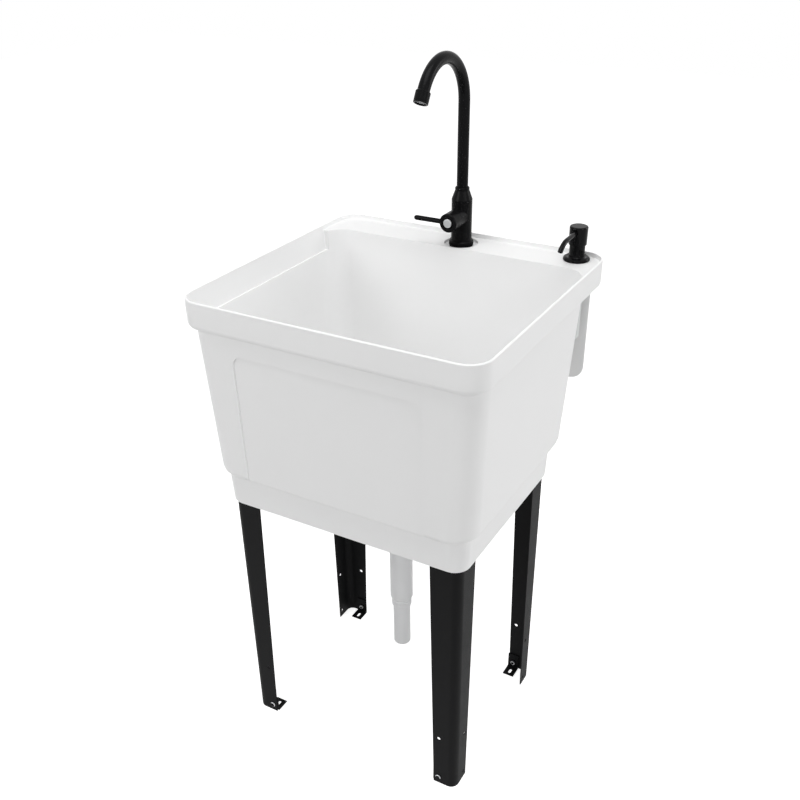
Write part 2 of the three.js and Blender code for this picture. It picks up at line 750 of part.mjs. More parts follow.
function drainBodyShape() {
  const flange = DRAIN_FLANGE_DIAMETER / 2;
  const seat = drainSeat + GAP;
  const inner = cupRadius - DRAIN_CUP_WALL;
  return turned(
    [
      [neckRadius - TUBE_WALL, cupFloor - DRAIN_NECK_LENGTH],
      [neckRadius, cupFloor - DRAIN_NECK_LENGTH],
      [neckRadius, cupFloor - DRAIN_CUP_WALL],
      [cupRadius - 3, cupFloor - DRAIN_CUP_WALL],
      [cupRadius, cupFloor + 2],
      [cupRadius, seat],
      [flange, seat],
      [flange - 1, seat + DRAIN_FLANGE_HEIGHT * 0.6],
      [inner + 3, seat + DRAIN_FLANGE_HEIGHT],
      [inner, seat + DRAIN_FLANGE_HEIGHT - 1.4],
      [inner, cupFloor + 3],
      [inner - 3, cupFloor],
      [neckRadius - TUBE_WALL, cupFloor],
    ],
    FINE,
  );
}

// The basket that lifts out: a cup with a ring of holes and a knob to take hold of.
function basketShape() {
  const top = drainSeat;
  const bottom = top - BASKET_DEPTH;
  const knob = KNOB_DIAMETER / 2;
  const cup = turned(
    [
      [0, bottom],
      [basketRadius - 5, bottom],
      [basketRadius, bottom + 5],
      [basketRadius, top],
      [basketRadius - BASKET_WALL, top],
      [basketRadius - BASKET_WALL, bottom + 5.4],
      [basketRadius - 5.6, bottom + BASKET_WALL],
      [3, bottom + BASKET_WALL],
      [3, top - KNOB_HEIGHT / 2],
      [knob, top - 2],
      [knob * 0.8, top + 1],
      [0, top + 2],
    ],
    ROUND,
  );
  const holes = Array.from({ length: BASKET_HOLES }, (_, i) => {
    const angle = (i / BASKET_HOLES) * Math.PI * 2;
    const reach = basketRadius * 0.58;
    return disc(BASKET_HOLE_DIAMETER / 2, bottom - 1, bottom + BASKET_WALL + 1, 6)
      .translate(reach * Math.cos(angle), reach * Math.sin(angle), 0);
  });
  return cut(cup, ...holes);
}

function addDrain() {
  const at = groupAt(0, drainY, 0);
  const basketFoot = drainSeat - BASKET_DEPTH - GAP;
  const gasketTop = underside - GAP;
  const nutTop = gasketTop - DRAIN_GASKET_HEIGHT - GAP;
  piece("drain_body", brightSteel, drainBodyShape(), at);
  piece("drain_basket", brightSteel, basketShape(), at);
  piece(
    "basket_seal",
    blackRubber,
    tube(neckRadius - TUBE_WALL + 1, basketRadius - 6, cupFloor + GAP, basketFoot, COARSE),
    at,
  );
  piece(
    "drain_gasket",
    blackRubber,
    tube(cupRadius + GAP, DRAIN_FLANGE_DIAMETER / 2, gasketTop - DRAIN_GASKET_HEIGHT, gasketTop, FINE),
    at,
  );
  piece("drain_locknut", greyPlastic, locknutShape(nutTop), at);
  const topOfTube = cupFloor - DRAIN_CUP_WALL - GAP;
  const upperInner = upperRadius - TUBE_WALL;
  const slipTop = UPPER_TUBE_BOTTOM - GAP;
  piece(
    "drain_upper_tube",
    greyPlastic,
    turned(
      [
        [lowerRadius + GAP, UPPER_TUBE_BOTTOM],
        [lowerRadius + GAP + TUBE_WALL, UPPER_TUBE_BOTTOM],
        [upperRadius, UPPER_TUBE_BOTTOM + TAPER_LENGTH],
        [upperRadius, topOfTube],
        [upperInner, topOfTube],
        [upperInner, UPPER_TUBE_BOTTOM + TAPER_LENGTH],
        [lowerRadius + GAP, UPPER_TUBE_BOTTOM + TAPER_LENGTH - TUBE_WALL],
      ],
      ROUND,
    ),
    at,
  );
  piece(
    "drain_tube_nut",
    greyPlastic,
    turned(
      [
        [upperRadius + GAP, topOfTube - 18],
        [upperRadius + 6, topOfTube - 18],
        [upperRadius + 7.5, topOfTube - 4],
        [upperRadius + 7.5, topOfTube],
        [upperRadius + GAP, topOfTube],
      ],
      ROUND,
    ),
    at,
  );
  piece(
    "drain_slip_ring",
    greyPlastic,
    turned(
      [
        [lowerRadius + GAP, slipTop - BEAD_HEIGHT],
        [BEAD_DIAMETER / 2 - 2, slipTop - BEAD_HEIGHT],
        [BEAD_DIAMETER / 2, slipTop - BEAD_HEIGHT * 0.75],
        [BEAD_DIAMETER / 2, slipTop - BEAD_HEIGHT * 0.25],
        [BEAD_DIAMETER / 2 - 2, slipTop],
        [lowerRadius + GAP, slipTop],
      ],
      ROUND,
    ),
    at,
  );
  piece(
    "drain_lower_tube",
    greyPlastic,
    turned(
      [
        [lowerRadius - TUBE_WALL, LOWER_TUBE_BOTTOM],
        [lowerRadius - 0.5, LOWER_TUBE_BOTTOM],
        [lowerRadius, LOWER_TUBE_BOTTOM + 0.8],
        [lowerRadius, UPPER_TUBE_BOTTOM + LOWER_TUBE_OVERLAP],
        [lowerRadius - TUBE_WALL, UPPER_TUBE_BOTTOM + LOWER_TUBE_OVERLAP],
      ],
      ROUND,
    ),
    at,
  );
}

// The large ring nut that clamps the tub's floor, with wings for a spanner.
function locknutShape(top) {
  const outer = DRAIN_NUT_DIAMETER / 2;
  const bottom = top - DRAIN_NUT_HEIGHT;
  const ringNut = tube(cupRadius + GAP, outer - 6, bottom, top, FINE);
  const wings = Array.from({ length: 6 }, (_, i) =>
    new THREE.BoxGeometry(10, 9, DRAIN_NUT_HEIGHT)
      .translate(outer - 5, 0, (top + bottom) / 2)
      .rotateZ((i / 6) * Math.PI * 2),
  );
  return join(ringNut, ...wings);
}

addDrain();

// ---------------------------------------------------------------- tap

// Heights in this group are above the underside of the tap's body.
const tapGasket = 1.5;
const tapBase = deckTop - TAP_RECESS_DEPTH + tapGasket + 2 * GAP;
const bodyRadius = TAP_BODY_DIAMETER / 2;
const barrelRadius = BARREL_DIAMETER / 2;
const spoutRadius = SPOUT_DIAMETER / 2;
const spoutFoot = TAP_BODY_HEIGHT - SPOUT_SEAT;
const barrelHeight = TAP_BODY_HEIGHT - BARREL_DROP;

// Places along a pipe that lies in the plane x = 0: each has y, z and the angle by which the pipe
// has turned from upright towards the front. It starts at a foot, runs straight and bends at a radius.
function pipeWay({ y, z, heading, straight, radius, bend, stub, steps }) {
  const way = [];
  const add = (turn) => way.push({ y, z, turn: heading + turn });
  const go = (length, turn) => {
    y -= length * Math.sin(heading + turn);
    z += length * Math.cos(heading + turn);
  };
  add(0);
  go(straight, 0);
  add(0);
  const chord = 2 * radius * Math.sin(bend / steps / 2);
  for (let i = 1; i <= steps; i++) {
    go(chord, (bend * (i - 0.5)) / steps);
    add((bend * i) / steps);
  }
  if (stub) {
    go(stub, bend);
    add(bend);
  }
  return way;
}

// A round solid along such a way, lengthened at both ends where it is to cut a bore. It is made
// upright, with one ring for each place, and each ring is then carried to its place.
function rodAlong(way, radius, faces, extra = 0) {
  const angles = Array.from({ length: faces }, (_, j) => (j / faces) * Math.PI * 2);
  const level = (_, i) => angles.map((a) => [radius * Math.cos(a), radius * Math.sin(a), i]);
  const rod = loft(way.map(level));
  const points = rod.getAttribute("position");
  for (let v = 0; v < points.count; v++) {
    const lean = points.getY(v);
    const i = points.getZ(v);
    const more = i === 0 ? -extra : i === way.length - 1 ? extra : 0;
    const { y, z, turn } = way[i];
    points.setY(v, y - more * Math.sin(turn) + lean * Math.cos(turn));
    points.setZ(v, z + more * Math.cos(turn) + lean * Math.sin(turn));
  }
  return rod;
}

const pipeAlong = (way, radius, bore, faces) =>
  cut(rodAlong(way, radius, faces), rodAlong(way, bore, SMALL, 1));

const spoutWay = pipeWay({
  y: 0,
  z: spoutFoot,
  heading: 0,
  straight: SPOUT_SEAT + BONNET_HEIGHT + SPOUT_RISE,
  radius: SPOUT_RADIUS,
  bend: THREE.MathUtils.degToRad(SPOUT_BOW_DEGREES),
  stub: SPOUT_STUB,
  steps: BOW_STEPS,
});

function tapBodyShape() {
  const flange = TAP_FLANGE_DIAMETER / 2;
  const outside = turned([
    [0, 0],
    [flange - 1, 0],
    [flange, 1],
    [flange, TAP_FLANGE_HEIGHT - 2.5],
    [flange - 1.6, TAP_FLANGE_HEIGHT - 0.6],
    [bodyRadius, TAP_FLANGE_HEIGHT],
    [bodyRadius, TAP_BODY_HEIGHT],
    [0, TAP_BODY_HEIGHT],
  ]);
  const barrel = laidForward(disc(barrelRadius, 0, BARREL_LENGTH)).translate(0, 0, barrelHeight);
  const seatFoot = BARREL_LENGTH - VALVE_LENGTH - GAP;
  const valveSeat = laidForward(disc(VALVE_DIAMETER / 2 + GAP, seatFoot, BARREL_LENGTH + 1))
    .translate(0, 0, barrelHeight);
  const spoutBore = disc(spoutRadius + GAP, spoutFoot - 3.4, TAP_BODY_HEIGHT + 1);
  const waterway = disc(SHANK_BORE / 2, SHANK_GRIP - 1, spoutFoot, COARSE);
  const shankBore = disc(SHANK_DIAMETER / 2 + GAP, -1, SHANK_GRIP + GAP, COARSE);
  return cut(join(outside, barrel), valveSeat, spoutBore, waterway, shankBore);
}

// The cone-shaped nut that keeps the spout in the body.
function bonnetShape() {
  const foot = TAP_BODY_HEIGHT + GAP;
  const top = TAP_BODY_HEIGHT + BONNET_HEIGHT;
  const inner = spoutRadius + GAP;
  return turned([
    [inner, foot],
    [bodyRadius, foot],
    [bodyRadius, foot + 3],
    [BONNET_TOP_DIAMETER / 2, top - 5],
    [BONNET_TOP_DIAMETER / 2, top - 1],
    [BONNET_TOP_DIAMETER / 2 - 1, top],
    [inner, top],
  ]);
}

function addTap() {
  const at = groupAt(0, tapY, tapBase);
  const seatUnder = -tapGasket - 2 * GAP - WALL;
  const shankSide = SHANK_DIAMETER / 2 + GAP;
  const gasket = tube(shankSide, TAP_FLANGE_DIAMETER / 2 - 1, -tapGasket - GAP, -GAP, COARSE);
  piece("tap_gasket", blackRubber, gasket, at);
  piece("tap_body", satinBlack, tapBodyShape(), at);
  piece("spout_bonnet", satinBlack, bonnetShape(), at);
  const seal = tube(spoutRadius - SPOUT_WALL - 1, spoutRadius, spoutFoot - 3, spoutFoot - GAP, COARSE);
  piece("spout_seal", blackRubber, seal, at);
  piece("tap_shank", brass, tube(SHANK_BORE / 2, SHANK_DIAMETER / 2, -SHANK_DROP, SHANK_GRIP, COARSE), at);
  const washerTop = seatUnder - GAP;
  const plateTop = washerTop - WASHER_HEIGHT - GAP;
  const nutTop = plateTop - PLATE_HEIGHT - GAP;
  const plateSide = TAP_NUT_ACROSS / 2 + 3;
  const washer = tube(shankSide, plateSide, washerTop - WASHER_HEIGHT, washerTop, COARSE);
  piece("tap_washer", blackRubber, washer, at);
  const plate = tube(shankSide, plateSide, plateTop - PLATE_HEIGHT, plateTop, COARSE);
  piece("tap_clamp_plate", brightSteel, plate, at);
  const nutHole = disc(shankSide, nutTop - TAP_NUT_HEIGHT - 1, nutTop + 1, COARSE);
  piece("tap_nut", brass, cut(hexagon(TAP_NUT_ACROSS, nutTop - TAP_NUT_HEIGHT, nutTop), nutHole), at);

  piece("spout", satinBlack, pipeAlong(spoutWay, spoutRadius, spoutRadius - SPOUT_WALL, COARSE), at);
  addAerator(at);
  addLever(at);
}

// The aerator at the spout's end, turned about the direction in which the spout ends.
function addAerator(tap) {
  const end = spoutWay[spoutWay.length - 1];
  const at = groupAt(0, end.y, end.z, tap);
  at.rotation.x = THREE.MathUtils.degToRad(SPOUT_BOW_DEGREES);
  const outer = AERATOR_DIAMETER / 2;
  const inner = spoutRadius + GAP;
  const tip = AERATOR_LENGTH - SPOUT_STUB;
  piece(
    "aerator_housing",
    satinBlack,
    turned([
      [inner, -SPOUT_STUB],
      [outer - 1.2, -SPOUT_STUB],
      [outer, -SPOUT_STUB + 1.2],
      [outer, tip - 0.6],
      [outer - 0.6, tip],
      [inner - 1.4, tip],
      [inner - 1.4, tip - AERATOR_LIP + 1],
      [inner, tip - AERATOR_LIP + 1],
    ]),
    at,
  );
  piece("aerator_washer", blackRubber, tube(spoutRadius - 3, spoutRadius - 0.2, GAP, GAP + 2, COARSE), at);
  piece("aerator_screen", brightSteel, screenShape(GAP + 2 + GAP, tip - AERATOR_LIP + 1 - GAP), at);
}

// A round insert with a cross of bars in its mouth.
function screenShape(top, bottom) {
  const outer = spoutRadius - 0.2;
  const rim = tube(outer - 1.6, outer, top, bottom, COARSE);
  const reach = outer - 0.9;
  const bar = new THREE.BoxGeometry(2 * reach, 1.2, 1.2).translate(0, 0, bottom - 0.8);
  return join(rim, bar, bar.clone().rotateZ(Math.PI / 2));
}

// The valve and the lever, about the barrel's axis, which runs to -Y.
function addLever(tap) {
  const at = groupAt(0, 0, barrelHeight, tap);
  const stem = STEM_DIAMETER / 2;
  const hubFoot = BARREL_LENGTH + GAP;
  const hubFace = hubFoot + HUB_LENGTH;
  const valveFoot = BARREL_LENGTH - VALVE_LENGTH;
  const stemFoot = valveFoot + 6;
  const stemTop = hubFoot + STEM_ENGAGEMENT;
  const valve = turned([
    [0, valveFoot],
    [VALVE_DIAMETER / 2 - 2, valveFoot],
    [VALVE_DIAMETER / 2, valveFoot + 2],
    [VALVE_DIAMETER / 2, BARREL_LENGTH],
    [stem + GAP, BARREL_LENGTH],
    [stem + GAP, stemFoot - GAP],
    [0, stemFoot - GAP],
  ], COARSE);
  piece("valve_cartridge", brass, laidForward(valve), at);
  piece("valve_stem", brass, laidForward(disc(stem, stemFoot, stemTop, COARSE)), at);

  const hub = turned([
    [0, hubFoot],
    [barrelRadius, hubFoot],
    [barrelRadius, hubFace - 1.5],
    [barrelRadius - 1.5, hubFace],
    [0, hubFace],
  ]);
  const stemSocket = disc(stem + GAP, hubFoot - 1, stemTop + GAP, COARSE);
  const capSeat = disc(CAP_DIAMETER / 2 + GAP, hubFace - CAP_THICKNESS, hubFace + 1);
  const armHeight = hubFoot + LEVER_PLACE;
  const studEnd = barrelRadius - LEVER_STUD_LENGTH;
  const studHole = disc(LEVER_STUD_DIAMETER / 2 + GAP, studEnd - GAP, barrelRadius + 1, COARSE)
    .rotateY(-Math.PI / 2)
    .translate(0, 0, armHeight);
  const openHub = cut(hub, stemSocket, capSeat, studHole);
  piece("lever_hub", satinBlack, laidForward(toGeometry(openHub)), at);

  const cap = turned([
    [0, hubFace - CAP_THICKNESS + GAP],
    [CAP_DIAMETER / 2, hubFace - CAP_THICKNESS + GAP],
    [CAP_DIAMETER / 2, hubFace],
    [CAP_DIAMETER / 2 - 1.2, hubFace + 0.7],
    [0, hubFace + 1],
  ]);
  piece("lever_cap", brightSteel, laidForward(cap), at);

  const root = LEVER_ROOT_DIAMETER / 2;
  const tip = LEVER_TIP_DIAMETER / 2;
  const armFoot = barrelRadius + GAP;
  const arm = turned([
    [0, studEnd],
    [LEVER_STUD_DIAMETER / 2, studEnd],
    [LEVER_STUD_DIAMETER / 2, armFoot],
    [root, armFoot],
    [tip, LEVER_REACH - tip * 1.4],
    [tip * 0.92, LEVER_REACH - tip * 0.6],
    [tip * 0.6, LEVER_REACH - tip * 0.15],
    [0, LEVER_REACH],
  ], COARSE);
  piece("lever_arm", satinBlack, arm.rotateY(-Math.PI / 2).translate(0, -armHeight, 0), at);
}

addTap();

// ---------------------------------------------------------------- soap pump

// Heights in this group are above the deck's top.
const neckRadiusOfPump = PUMP_NECK_DIAMETER / 2;
const pumpBoreRadius = PUMP_BORE / 2;
const chamberTop = PUMP_NECK_HEIGHT - 1.5;
const chamberRadius = pumpBoreRadius - GAP;
const chamberBottom = chamberTop - CHAMBER_LENGTH;
const pistonTop = chamberTop - PISTON_DROP;
const pistonRadius = chamberRadius - CHAMBER_WALL - GAP;
const shankUnder = -PUMP_SHANK_DROP;

function pumpCollarShape() {
  const flange = PUMP_FLANGE_DIAMETER / 2;
  return turned([
    [pumpBoreRadius, shankUnder],
    [PUMP_SHANK_DIAMETER / 2, shankUnder],
    [PUMP_SHANK_DIAMETER / 2, GAP],
    [flange - 0.8, GAP],
    [flange, GAP + 0.9],
    [flange - 0.3, PUMP_FLANGE_HEIGHT * 0.5],
    [flange - 1.8, PUMP_FLANGE_HEIGHT * 0.8],
    [flange - 4.5, PUMP_FLANGE_HEIGHT],
    [neckRadiusOfPump + 1.2, PUMP_FLANGE_HEIGHT - 0.6],
    [neckRadiusOfPump, PUMP_FLANGE_HEIGHT + 0.8],
    [neckRadiusOfPump, PUMP_NECK_HEIGHT],
    [pumpBoreRadius, PUMP_NECK_HEIGHT],
  ]);
}

// The tube that the piston runs in, closed at the top but for the plunger's hole.
function chamberShape() {
  const inner = chamberRadius - CHAMBER_WALL;
  const hole = PLUNGER_DIAMETER / 2 + GAP;
  const drip = DIP_TUBE_DIAMETER / 2 + GAP;
  return turned([
    [drip, chamberBottom],
    [chamberRadius - 2, chamberBottom],
    [chamberRadius, chamberBottom + 2],
    [chamberRadius, chamberTop],
    [hole, chamberTop],
    [hole, chamberTop - CHAMBER_LID],
    [inner, chamberTop - CHAMBER_LID],
    [inner, chamberBottom + 4],
    [drip, chamberBottom + 4],
  ], COARSE);
}

function plungerShape(top) {
  const stem = PLUNGER_DIAMETER / 2;
  return turned([
    [1.4, pistonTop - PISTON_HEIGHT],
    [pistonRadius, pistonTop - PISTON_HEIGHT],
    [pistonRadius, pistonTop],
    [stem, pistonTop],
    [stem, top],
    [1.4, top],
  ], COARSE);
}

// The coil of a spring, climbing evenly from the lower end to the upper one.
class HelixCurve extends THREE.Curve {
  constructor(radius, bottom, top, turns) {
    super();
    Object.assign(this, { radius, bottom, top, turns });
  }
  getPoint(t, target = new THREE.Vector3()) {
    const angle = t * this.turns * Math.PI * 2;
    return target.set(
      this.radius * Math.cos(angle),
      this.radius * Math.sin(angle),
      this.bottom + (this.top - this.bottom) * t,
    );
  }
}

function springShape(bottom, top) {
  const wire = SPRING_WIRE / 2;
  const corner = (_, i) => {
    const angle = (i / 5) * Math.PI * 2;
    return new THREE.Vector2(wire * Math.cos(angle), wire * Math.sin(angle));
  };
  const section = new THREE.Shape(Array.from({ length: 5 }, corner));
  const way = new HelixCurve(pistonRadius - SPRING_WIRE, bottom + wire, top - wire, SPRING_TURNS);
  return new THREE.ExtrudeGeometry(section, { steps: SPRING_TURNS * 7, extrudePath: way });
}

// The pressed part: hollow below so that it slides over the collar's neck.
function pumpHeadShape() {
  const foot = HEAD_LIFT;
  const top = foot + HEAD_HEIGHT;
  const bottomRadius = HEAD_BOTTOM_DIAMETER / 2;
  const topRadius = HEAD_TOP_DIAMETER / 2;
  const hollow = neckRadiusOfPump + 0.4;
  const roof = foot + HEAD_HOLLOW;
  const socket = PLUNGER_DIAMETER / 2 + GAP;
  const outside = turned([
    [0, roof + 7],
    [socket, roof + 7],
    [socket, roof],
    [hollow, roof],
    [hollow, foot],
    [bottomRadius, foot],
    [topRadius, top - 2.2],
    [topRadius - 0.8, top - 0.6],
    [topRadius - 2.4, top],
    [0, top],
  ]);
  const nozzleHole = laidForward(disc(NOZZLE_DIAMETER / 2 + GAP, socket + 1.6, topRadius + 2, COARSE))
    .translate(0, 0, foot + NOZZLE_HEIGHT);
  return cut(outside, nozzleHole);
}

// The nozzle runs straight out to the front and then bends down.
function nozzleShape() {
  const start = PLUNGER_DIAMETER / 2 + GAP + 2;
  const bend = THREE.MathUtils.degToRad(NOZZLE_DROP_DEGREES);
  const way = pipeWay({
    y: 0,
    z: 0,
    heading: 0,
    straight: NOZZLE_REACH - start - NOZZLE_BEND * Math.sin(bend),
    radius: NOZZLE_BEND,
    bend,
    steps: 6,
  });
  return toGeometry(pipeAlong(way, NOZZLE_DIAMETER / 2, NOZZLE_BORE / 2, SMALL))
    .rotateX(Math.PI / 2)
    .translate(0, -start, HEAD_LIFT + NOZZLE_HEIGHT);
}

function bottleShape(top) {
  const bottom = top - BOTTLE_HEIGHT;
  const neckFoot = top - BOTTLE_NECK_HEIGHT;
  const outer = BOTTLE_DIAMETER / 2;
  const neck = BOTTLE_NECK_DIAMETER / 2;
  const inner = PUMP_SHANK_DIAMETER / 2 + GAP;
  return turned([
    [0, bottom],
    [outer - 3, bottom],
    [outer, bottom + 3],
    [outer, neckFoot - BOTTLE_SHOULDER],
    [neck, neckFoot],
    [neck, top],
    [inner, top],
    [inner, neckFoot],
    [outer - BOTTLE_WALL, neckFoot - BOTTLE_SHOULDER],
    [outer - BOTTLE_WALL, bottom + 3.5],
    [outer - 3.5, bottom + BOTTLE_WALL],
    [0, bottom + BOTTLE_WALL],
  ], COARSE);
}

function addPump() {
  const at = groupAt(pumpX, pumpY, deckTop);
  const shankSide = PUMP_SHANK_DIAMETER / 2 + GAP;
  const washerTop = -WALL - GAP;
  const washerUnder = washerTop - 2;
  const nutTop = washerUnder - GAP;
  const nutUnder = nutTop - PUMP_NUT_HEIGHT;
  piece("pump_collar", glossBlack, pumpCollarShape(), at);
  const washer = tube(shankSide, PUMP_NUT_DIAMETER / 2 - 1, washerUnder, washerTop, COARSE);
  piece("pump_washer", blackRubber, washer, at);
  const nutHole = disc(shankSide, nutUnder - 1, nutTop + 1, COARSE);
  piece("pump_nut", greyPlastic, cut(disc(PUMP_NUT_DIAMETER / 2, nutUnder, nutTop, 12), nutHole), at);
  piece("soap_bottle", clearPlastic, bottleShape(nutUnder - 2), at);
  piece("pump_chamber", clearPlastic, chamberShape(), at);
  const bottleFloor = nutUnder - 2 - BOTTLE_HEIGHT;
  const dipTop = chamberBottom + 4;
  piece(
    "dip_tube",
    clearPlastic,
    tube(DIP_TUBE_BORE / 2, DIP_TUBE_DIAMETER / 2, bottleFloor + DIP_TUBE_CLEARANCE, dipTop, SMALL),
    at,
  );
  const spring = springShape(dipTop + GAP, pistonTop - PISTON_HEIGHT - GAP);
  piece("pump_spring", brightSteel, spring, at);
  piece("pump_plunger", clearPlastic, plungerShape(HEAD_LIFT + HEAD_HOLLOW + 7 - GAP), at);
  piece("pump_head", glossBlack, pumpHeadShape(), at);
  piece("pump_nozzle", glossBlack, nozzleShape(), at);
}

addPump();

export default sink;
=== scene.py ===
"""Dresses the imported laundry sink: moulded tub, bent legs, drain, tap and soap pump."""

import math

import bmesh
import bpy
from mathutils import Matrix, Vector


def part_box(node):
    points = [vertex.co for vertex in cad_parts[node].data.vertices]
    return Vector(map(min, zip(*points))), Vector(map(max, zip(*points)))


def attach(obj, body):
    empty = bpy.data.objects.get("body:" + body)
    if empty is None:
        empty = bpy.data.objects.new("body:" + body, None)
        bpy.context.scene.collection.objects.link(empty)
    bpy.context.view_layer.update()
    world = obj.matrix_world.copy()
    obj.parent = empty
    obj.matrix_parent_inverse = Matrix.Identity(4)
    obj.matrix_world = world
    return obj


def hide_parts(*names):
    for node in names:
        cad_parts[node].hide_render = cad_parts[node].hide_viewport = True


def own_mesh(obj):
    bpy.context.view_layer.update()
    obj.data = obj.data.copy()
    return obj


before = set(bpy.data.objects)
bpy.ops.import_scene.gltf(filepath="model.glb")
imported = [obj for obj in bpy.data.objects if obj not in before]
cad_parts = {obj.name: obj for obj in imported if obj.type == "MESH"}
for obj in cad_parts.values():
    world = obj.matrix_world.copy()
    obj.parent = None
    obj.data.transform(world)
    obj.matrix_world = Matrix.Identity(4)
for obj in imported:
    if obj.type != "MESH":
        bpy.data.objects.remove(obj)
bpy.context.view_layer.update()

bl_info = {
    "name": "Laundry Sink",
    "version": (1, 0, 0),
    "blender": (4, 5, 0),
    "location": "3D View > Sidebar > Sink",
    "description": "Models and finishes the pieces of a free-standing laundry sink",
    "category": "Add Mesh",
}

MM = 0.001
FULL_TURN = 2 * math.pi


# ---------------------------------------------------------------- places read from the frame


def middle(node):
    """The centre of a CAD node's box."""
    low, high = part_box(node)
    return (low + high) / 2


def foot(node):
    """The height of a CAD node's lowest point."""
    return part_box(node)[0].z


DRAIN = middle("drain_upper_tube")
TAP = middle("tap_nut")
PUMP = middle("pump_collar")
HUB = middle("lever_hub")
HUB_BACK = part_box("lever_hub")[1].y


# ---------------------------------------------------------------- what a user may change


def colour(name, description, value):
    return bpy.props.FloatVectorProperty(
        name=name, description=description, subtype="COLOR", size=3, min=0, max=1, default=value
    )


def length(name, description, value):
    return bpy.props.FloatProperty(
        name=name, description=description, subtype="DISTANCE", unit="LENGTH", min=0,
        default=value * MM,
    )


def power(name, description, value):
    return bpy.props.FloatProperty(
        name=name, description=description, subtype="POWER", unit="POWER", min=0, default=value
    )


class SinkColours(bpy.types.PropertyGroup):
    """Colours of the sink's finishes"""

    tub: colour("Tub", "White moulded plastic of the tub", (0.92, 0.921, 0.92))
    pipe: colour("Drain pipe", "Pale grey plastic of the drain", (0.85, 0.855, 0.86))
    leg: colour("Legs", "Powder coat of the legs and foot plates", (0.0055, 0.0055, 0.006))
    tap: colour("Tap", "Satin black of the tap", (0.0055, 0.0055, 0.006))
    pump: colour("Soap pump", "Gloss black of the soap pump", (0.003, 0.003, 0.0035))
    steel: colour("Steel", "Zinc-plated and stainless steel", (0.62, 0.63, 0.64))
    brass: colour("Brass", "Brass of the shank and its nut", (0.6, 0.42, 0.18))
    rubber: colour("Rubber", "Seals and washers", (0.018, 0.018, 0.019))
    bottle: colour("Bottle", "Natural plastic of the soap bottle", (0.72, 0.74, 0.73))


class SinkSizes(bpy.types.PropertyGroup):
    """Sizes that finish the sink's pieces"""

    tub_edge: length("Tub edge", "Rounding of the tub's moulded edges", 1.0)
    deck_edge: length("Deck edge", "Rounding of the edge between deck and basin", 2.2)
    leg_sheet: length("Leg sheet", "Thickness of the legs' steel", 1.8)
    leg_bend: length("Leg bend", "Outer radius of the legs' bend", 15)
    plate_sheet: length("Foot plate sheet", "Thickness of the foot plates", 2)
    spout_wall: length("Spout wall", "Thickness of the spout's tube", 1.6)
    spout_bow: length("Spout bow", "Radius of the spout's bow", 73)
    thread_pitch: length("Thread pitch", "Distance between turns of the tap's thread", 1.8)


class SinkLight(bpy.types.PropertyGroup):
    """Strengths of the studio's light"""

    room: bpy.props.FloatProperty(
        name="Room", description="Strength of the light from all round", min=0, default=0.4
    )
    top: power("Top lamp", "Power of the lamp above the sink", 19)
    front: power("Front lamp", "Power of the lamp in front, to the left", 15)
    right: power("Right lamp", "Power of the lamp to the right", 7.5)
    back: power("Back lamp", "Power of the lamp behind, to the right", 8)


# ---------------------------------------------------------------- working at the bench


def deselect():
    """Leaves edit mode and deselects every object."""
    if bpy.context.mode != "OBJECT":
        bpy.ops.object.mode_set(mode="OBJECT")
    bpy.ops.object.select_all(action="DESELECT")


def work_on(obj):
    deselect()
    obj.select_set(True)
    bpy.context.view_layer.objects.active = obj


def open_mesh():
    """Goes into edit mode with every vertex selected."""
    bpy.ops.object.mode_set(mode="EDIT")
    bpy.ops.mesh.select_mode(type="VERT")
    bpy.ops.mesh.select_all(action="SELECT")


def edit(obj):
    work_on(obj)
    open_mesh()


def pick(kind, test):
    """Selects the vertices, edges or faces of the edited mesh that pass a test."""
    bpy.ops.mesh.select_all(action="DESELECT")
    bpy.ops.mesh.select_mode(type=kind)
    data = bpy.context.object.data
    mesh = bmesh.from_edit_mesh(data)
    items = {"VERT": mesh.verts, "EDGE": mesh.edges, "FACE": mesh.faces}[kind]
    for item in items:
        item.select_set(test(item))
    mesh.select_flush_mode()
    bmesh.update_edit_mesh(data)


def between(edge):
    """The middle of an edge."""
    return (edge.verts[0].co + edge.verts[1].co) / 2


def modify(obj, kind, **settings):
    """Adds a modifier with these settings and applies it."""
    work_on(obj)
    bpy.ops.object.modifier_add(type=kind)
    modifier = obj.modifiers[-1]
    for name, value in settings.items():
        setattr(modifier, name, value)
    bpy.ops.object.modifier_apply(modifier=modifier.name)


def bevel(obj, width, degrees):
    """Rounds an object's edges that are sharper than an angle, by a width in millimetres."""
    limit = math.radians(degrees)
    modify(obj, "BEVEL", width=width * MM, segments=2, limit_method="ANGLE", angle_limit=limit)


def combine(obj, tool, operation):
    """Cuts a tool out of an object or unites the two, and removes the tool."""
    modify(obj, "BOOLEAN", operation=operation, solver="EXACT", object=tool)
    bpy.data.objects.remove(tool)
    return obj


def outward():
    """Merges an edited mesh's seams and turns its faces outwards."""
    bpy.ops.mesh.select_mode(type="VERT")
    bpy.ops.mesh.select_all(action="SELECT")
    bpy.ops.mesh.remove_doubles(threshold=0.002 * MM)
    bpy.ops.mesh.normals_make_consistent(inside=False)


def rounded(points, radius, steps=3):
    """A path with its corners rounded, where the path leaves room. Ends stay as they are."""
    made = [points[0]]
    for before, corner, after in zip(points, points[1:], points[2:]):
        a, b, c = Vector(before), Vector(corner), Vector(after)
        to_a, to_c = a - b, c - b
        half = to_a.angle(to_c, math.pi) / 2
        if half > math.radians(80) or radius <= 0:
            made.append(corner)
            continue
        reach = min(radius / math.tan(half), to_a.length * 0.45, to_c.length * 0.45)
        start, end = b + to_a.normalized() * reach, b + to_c.normalized() * reach
        for i in range(steps + 1):
            t = i / steps
            made.append(tuple(start * (1 - t) ** 2 + b * 2 * t * (1 - t) + end * t**2))
    made.append(points[-1])
    return made


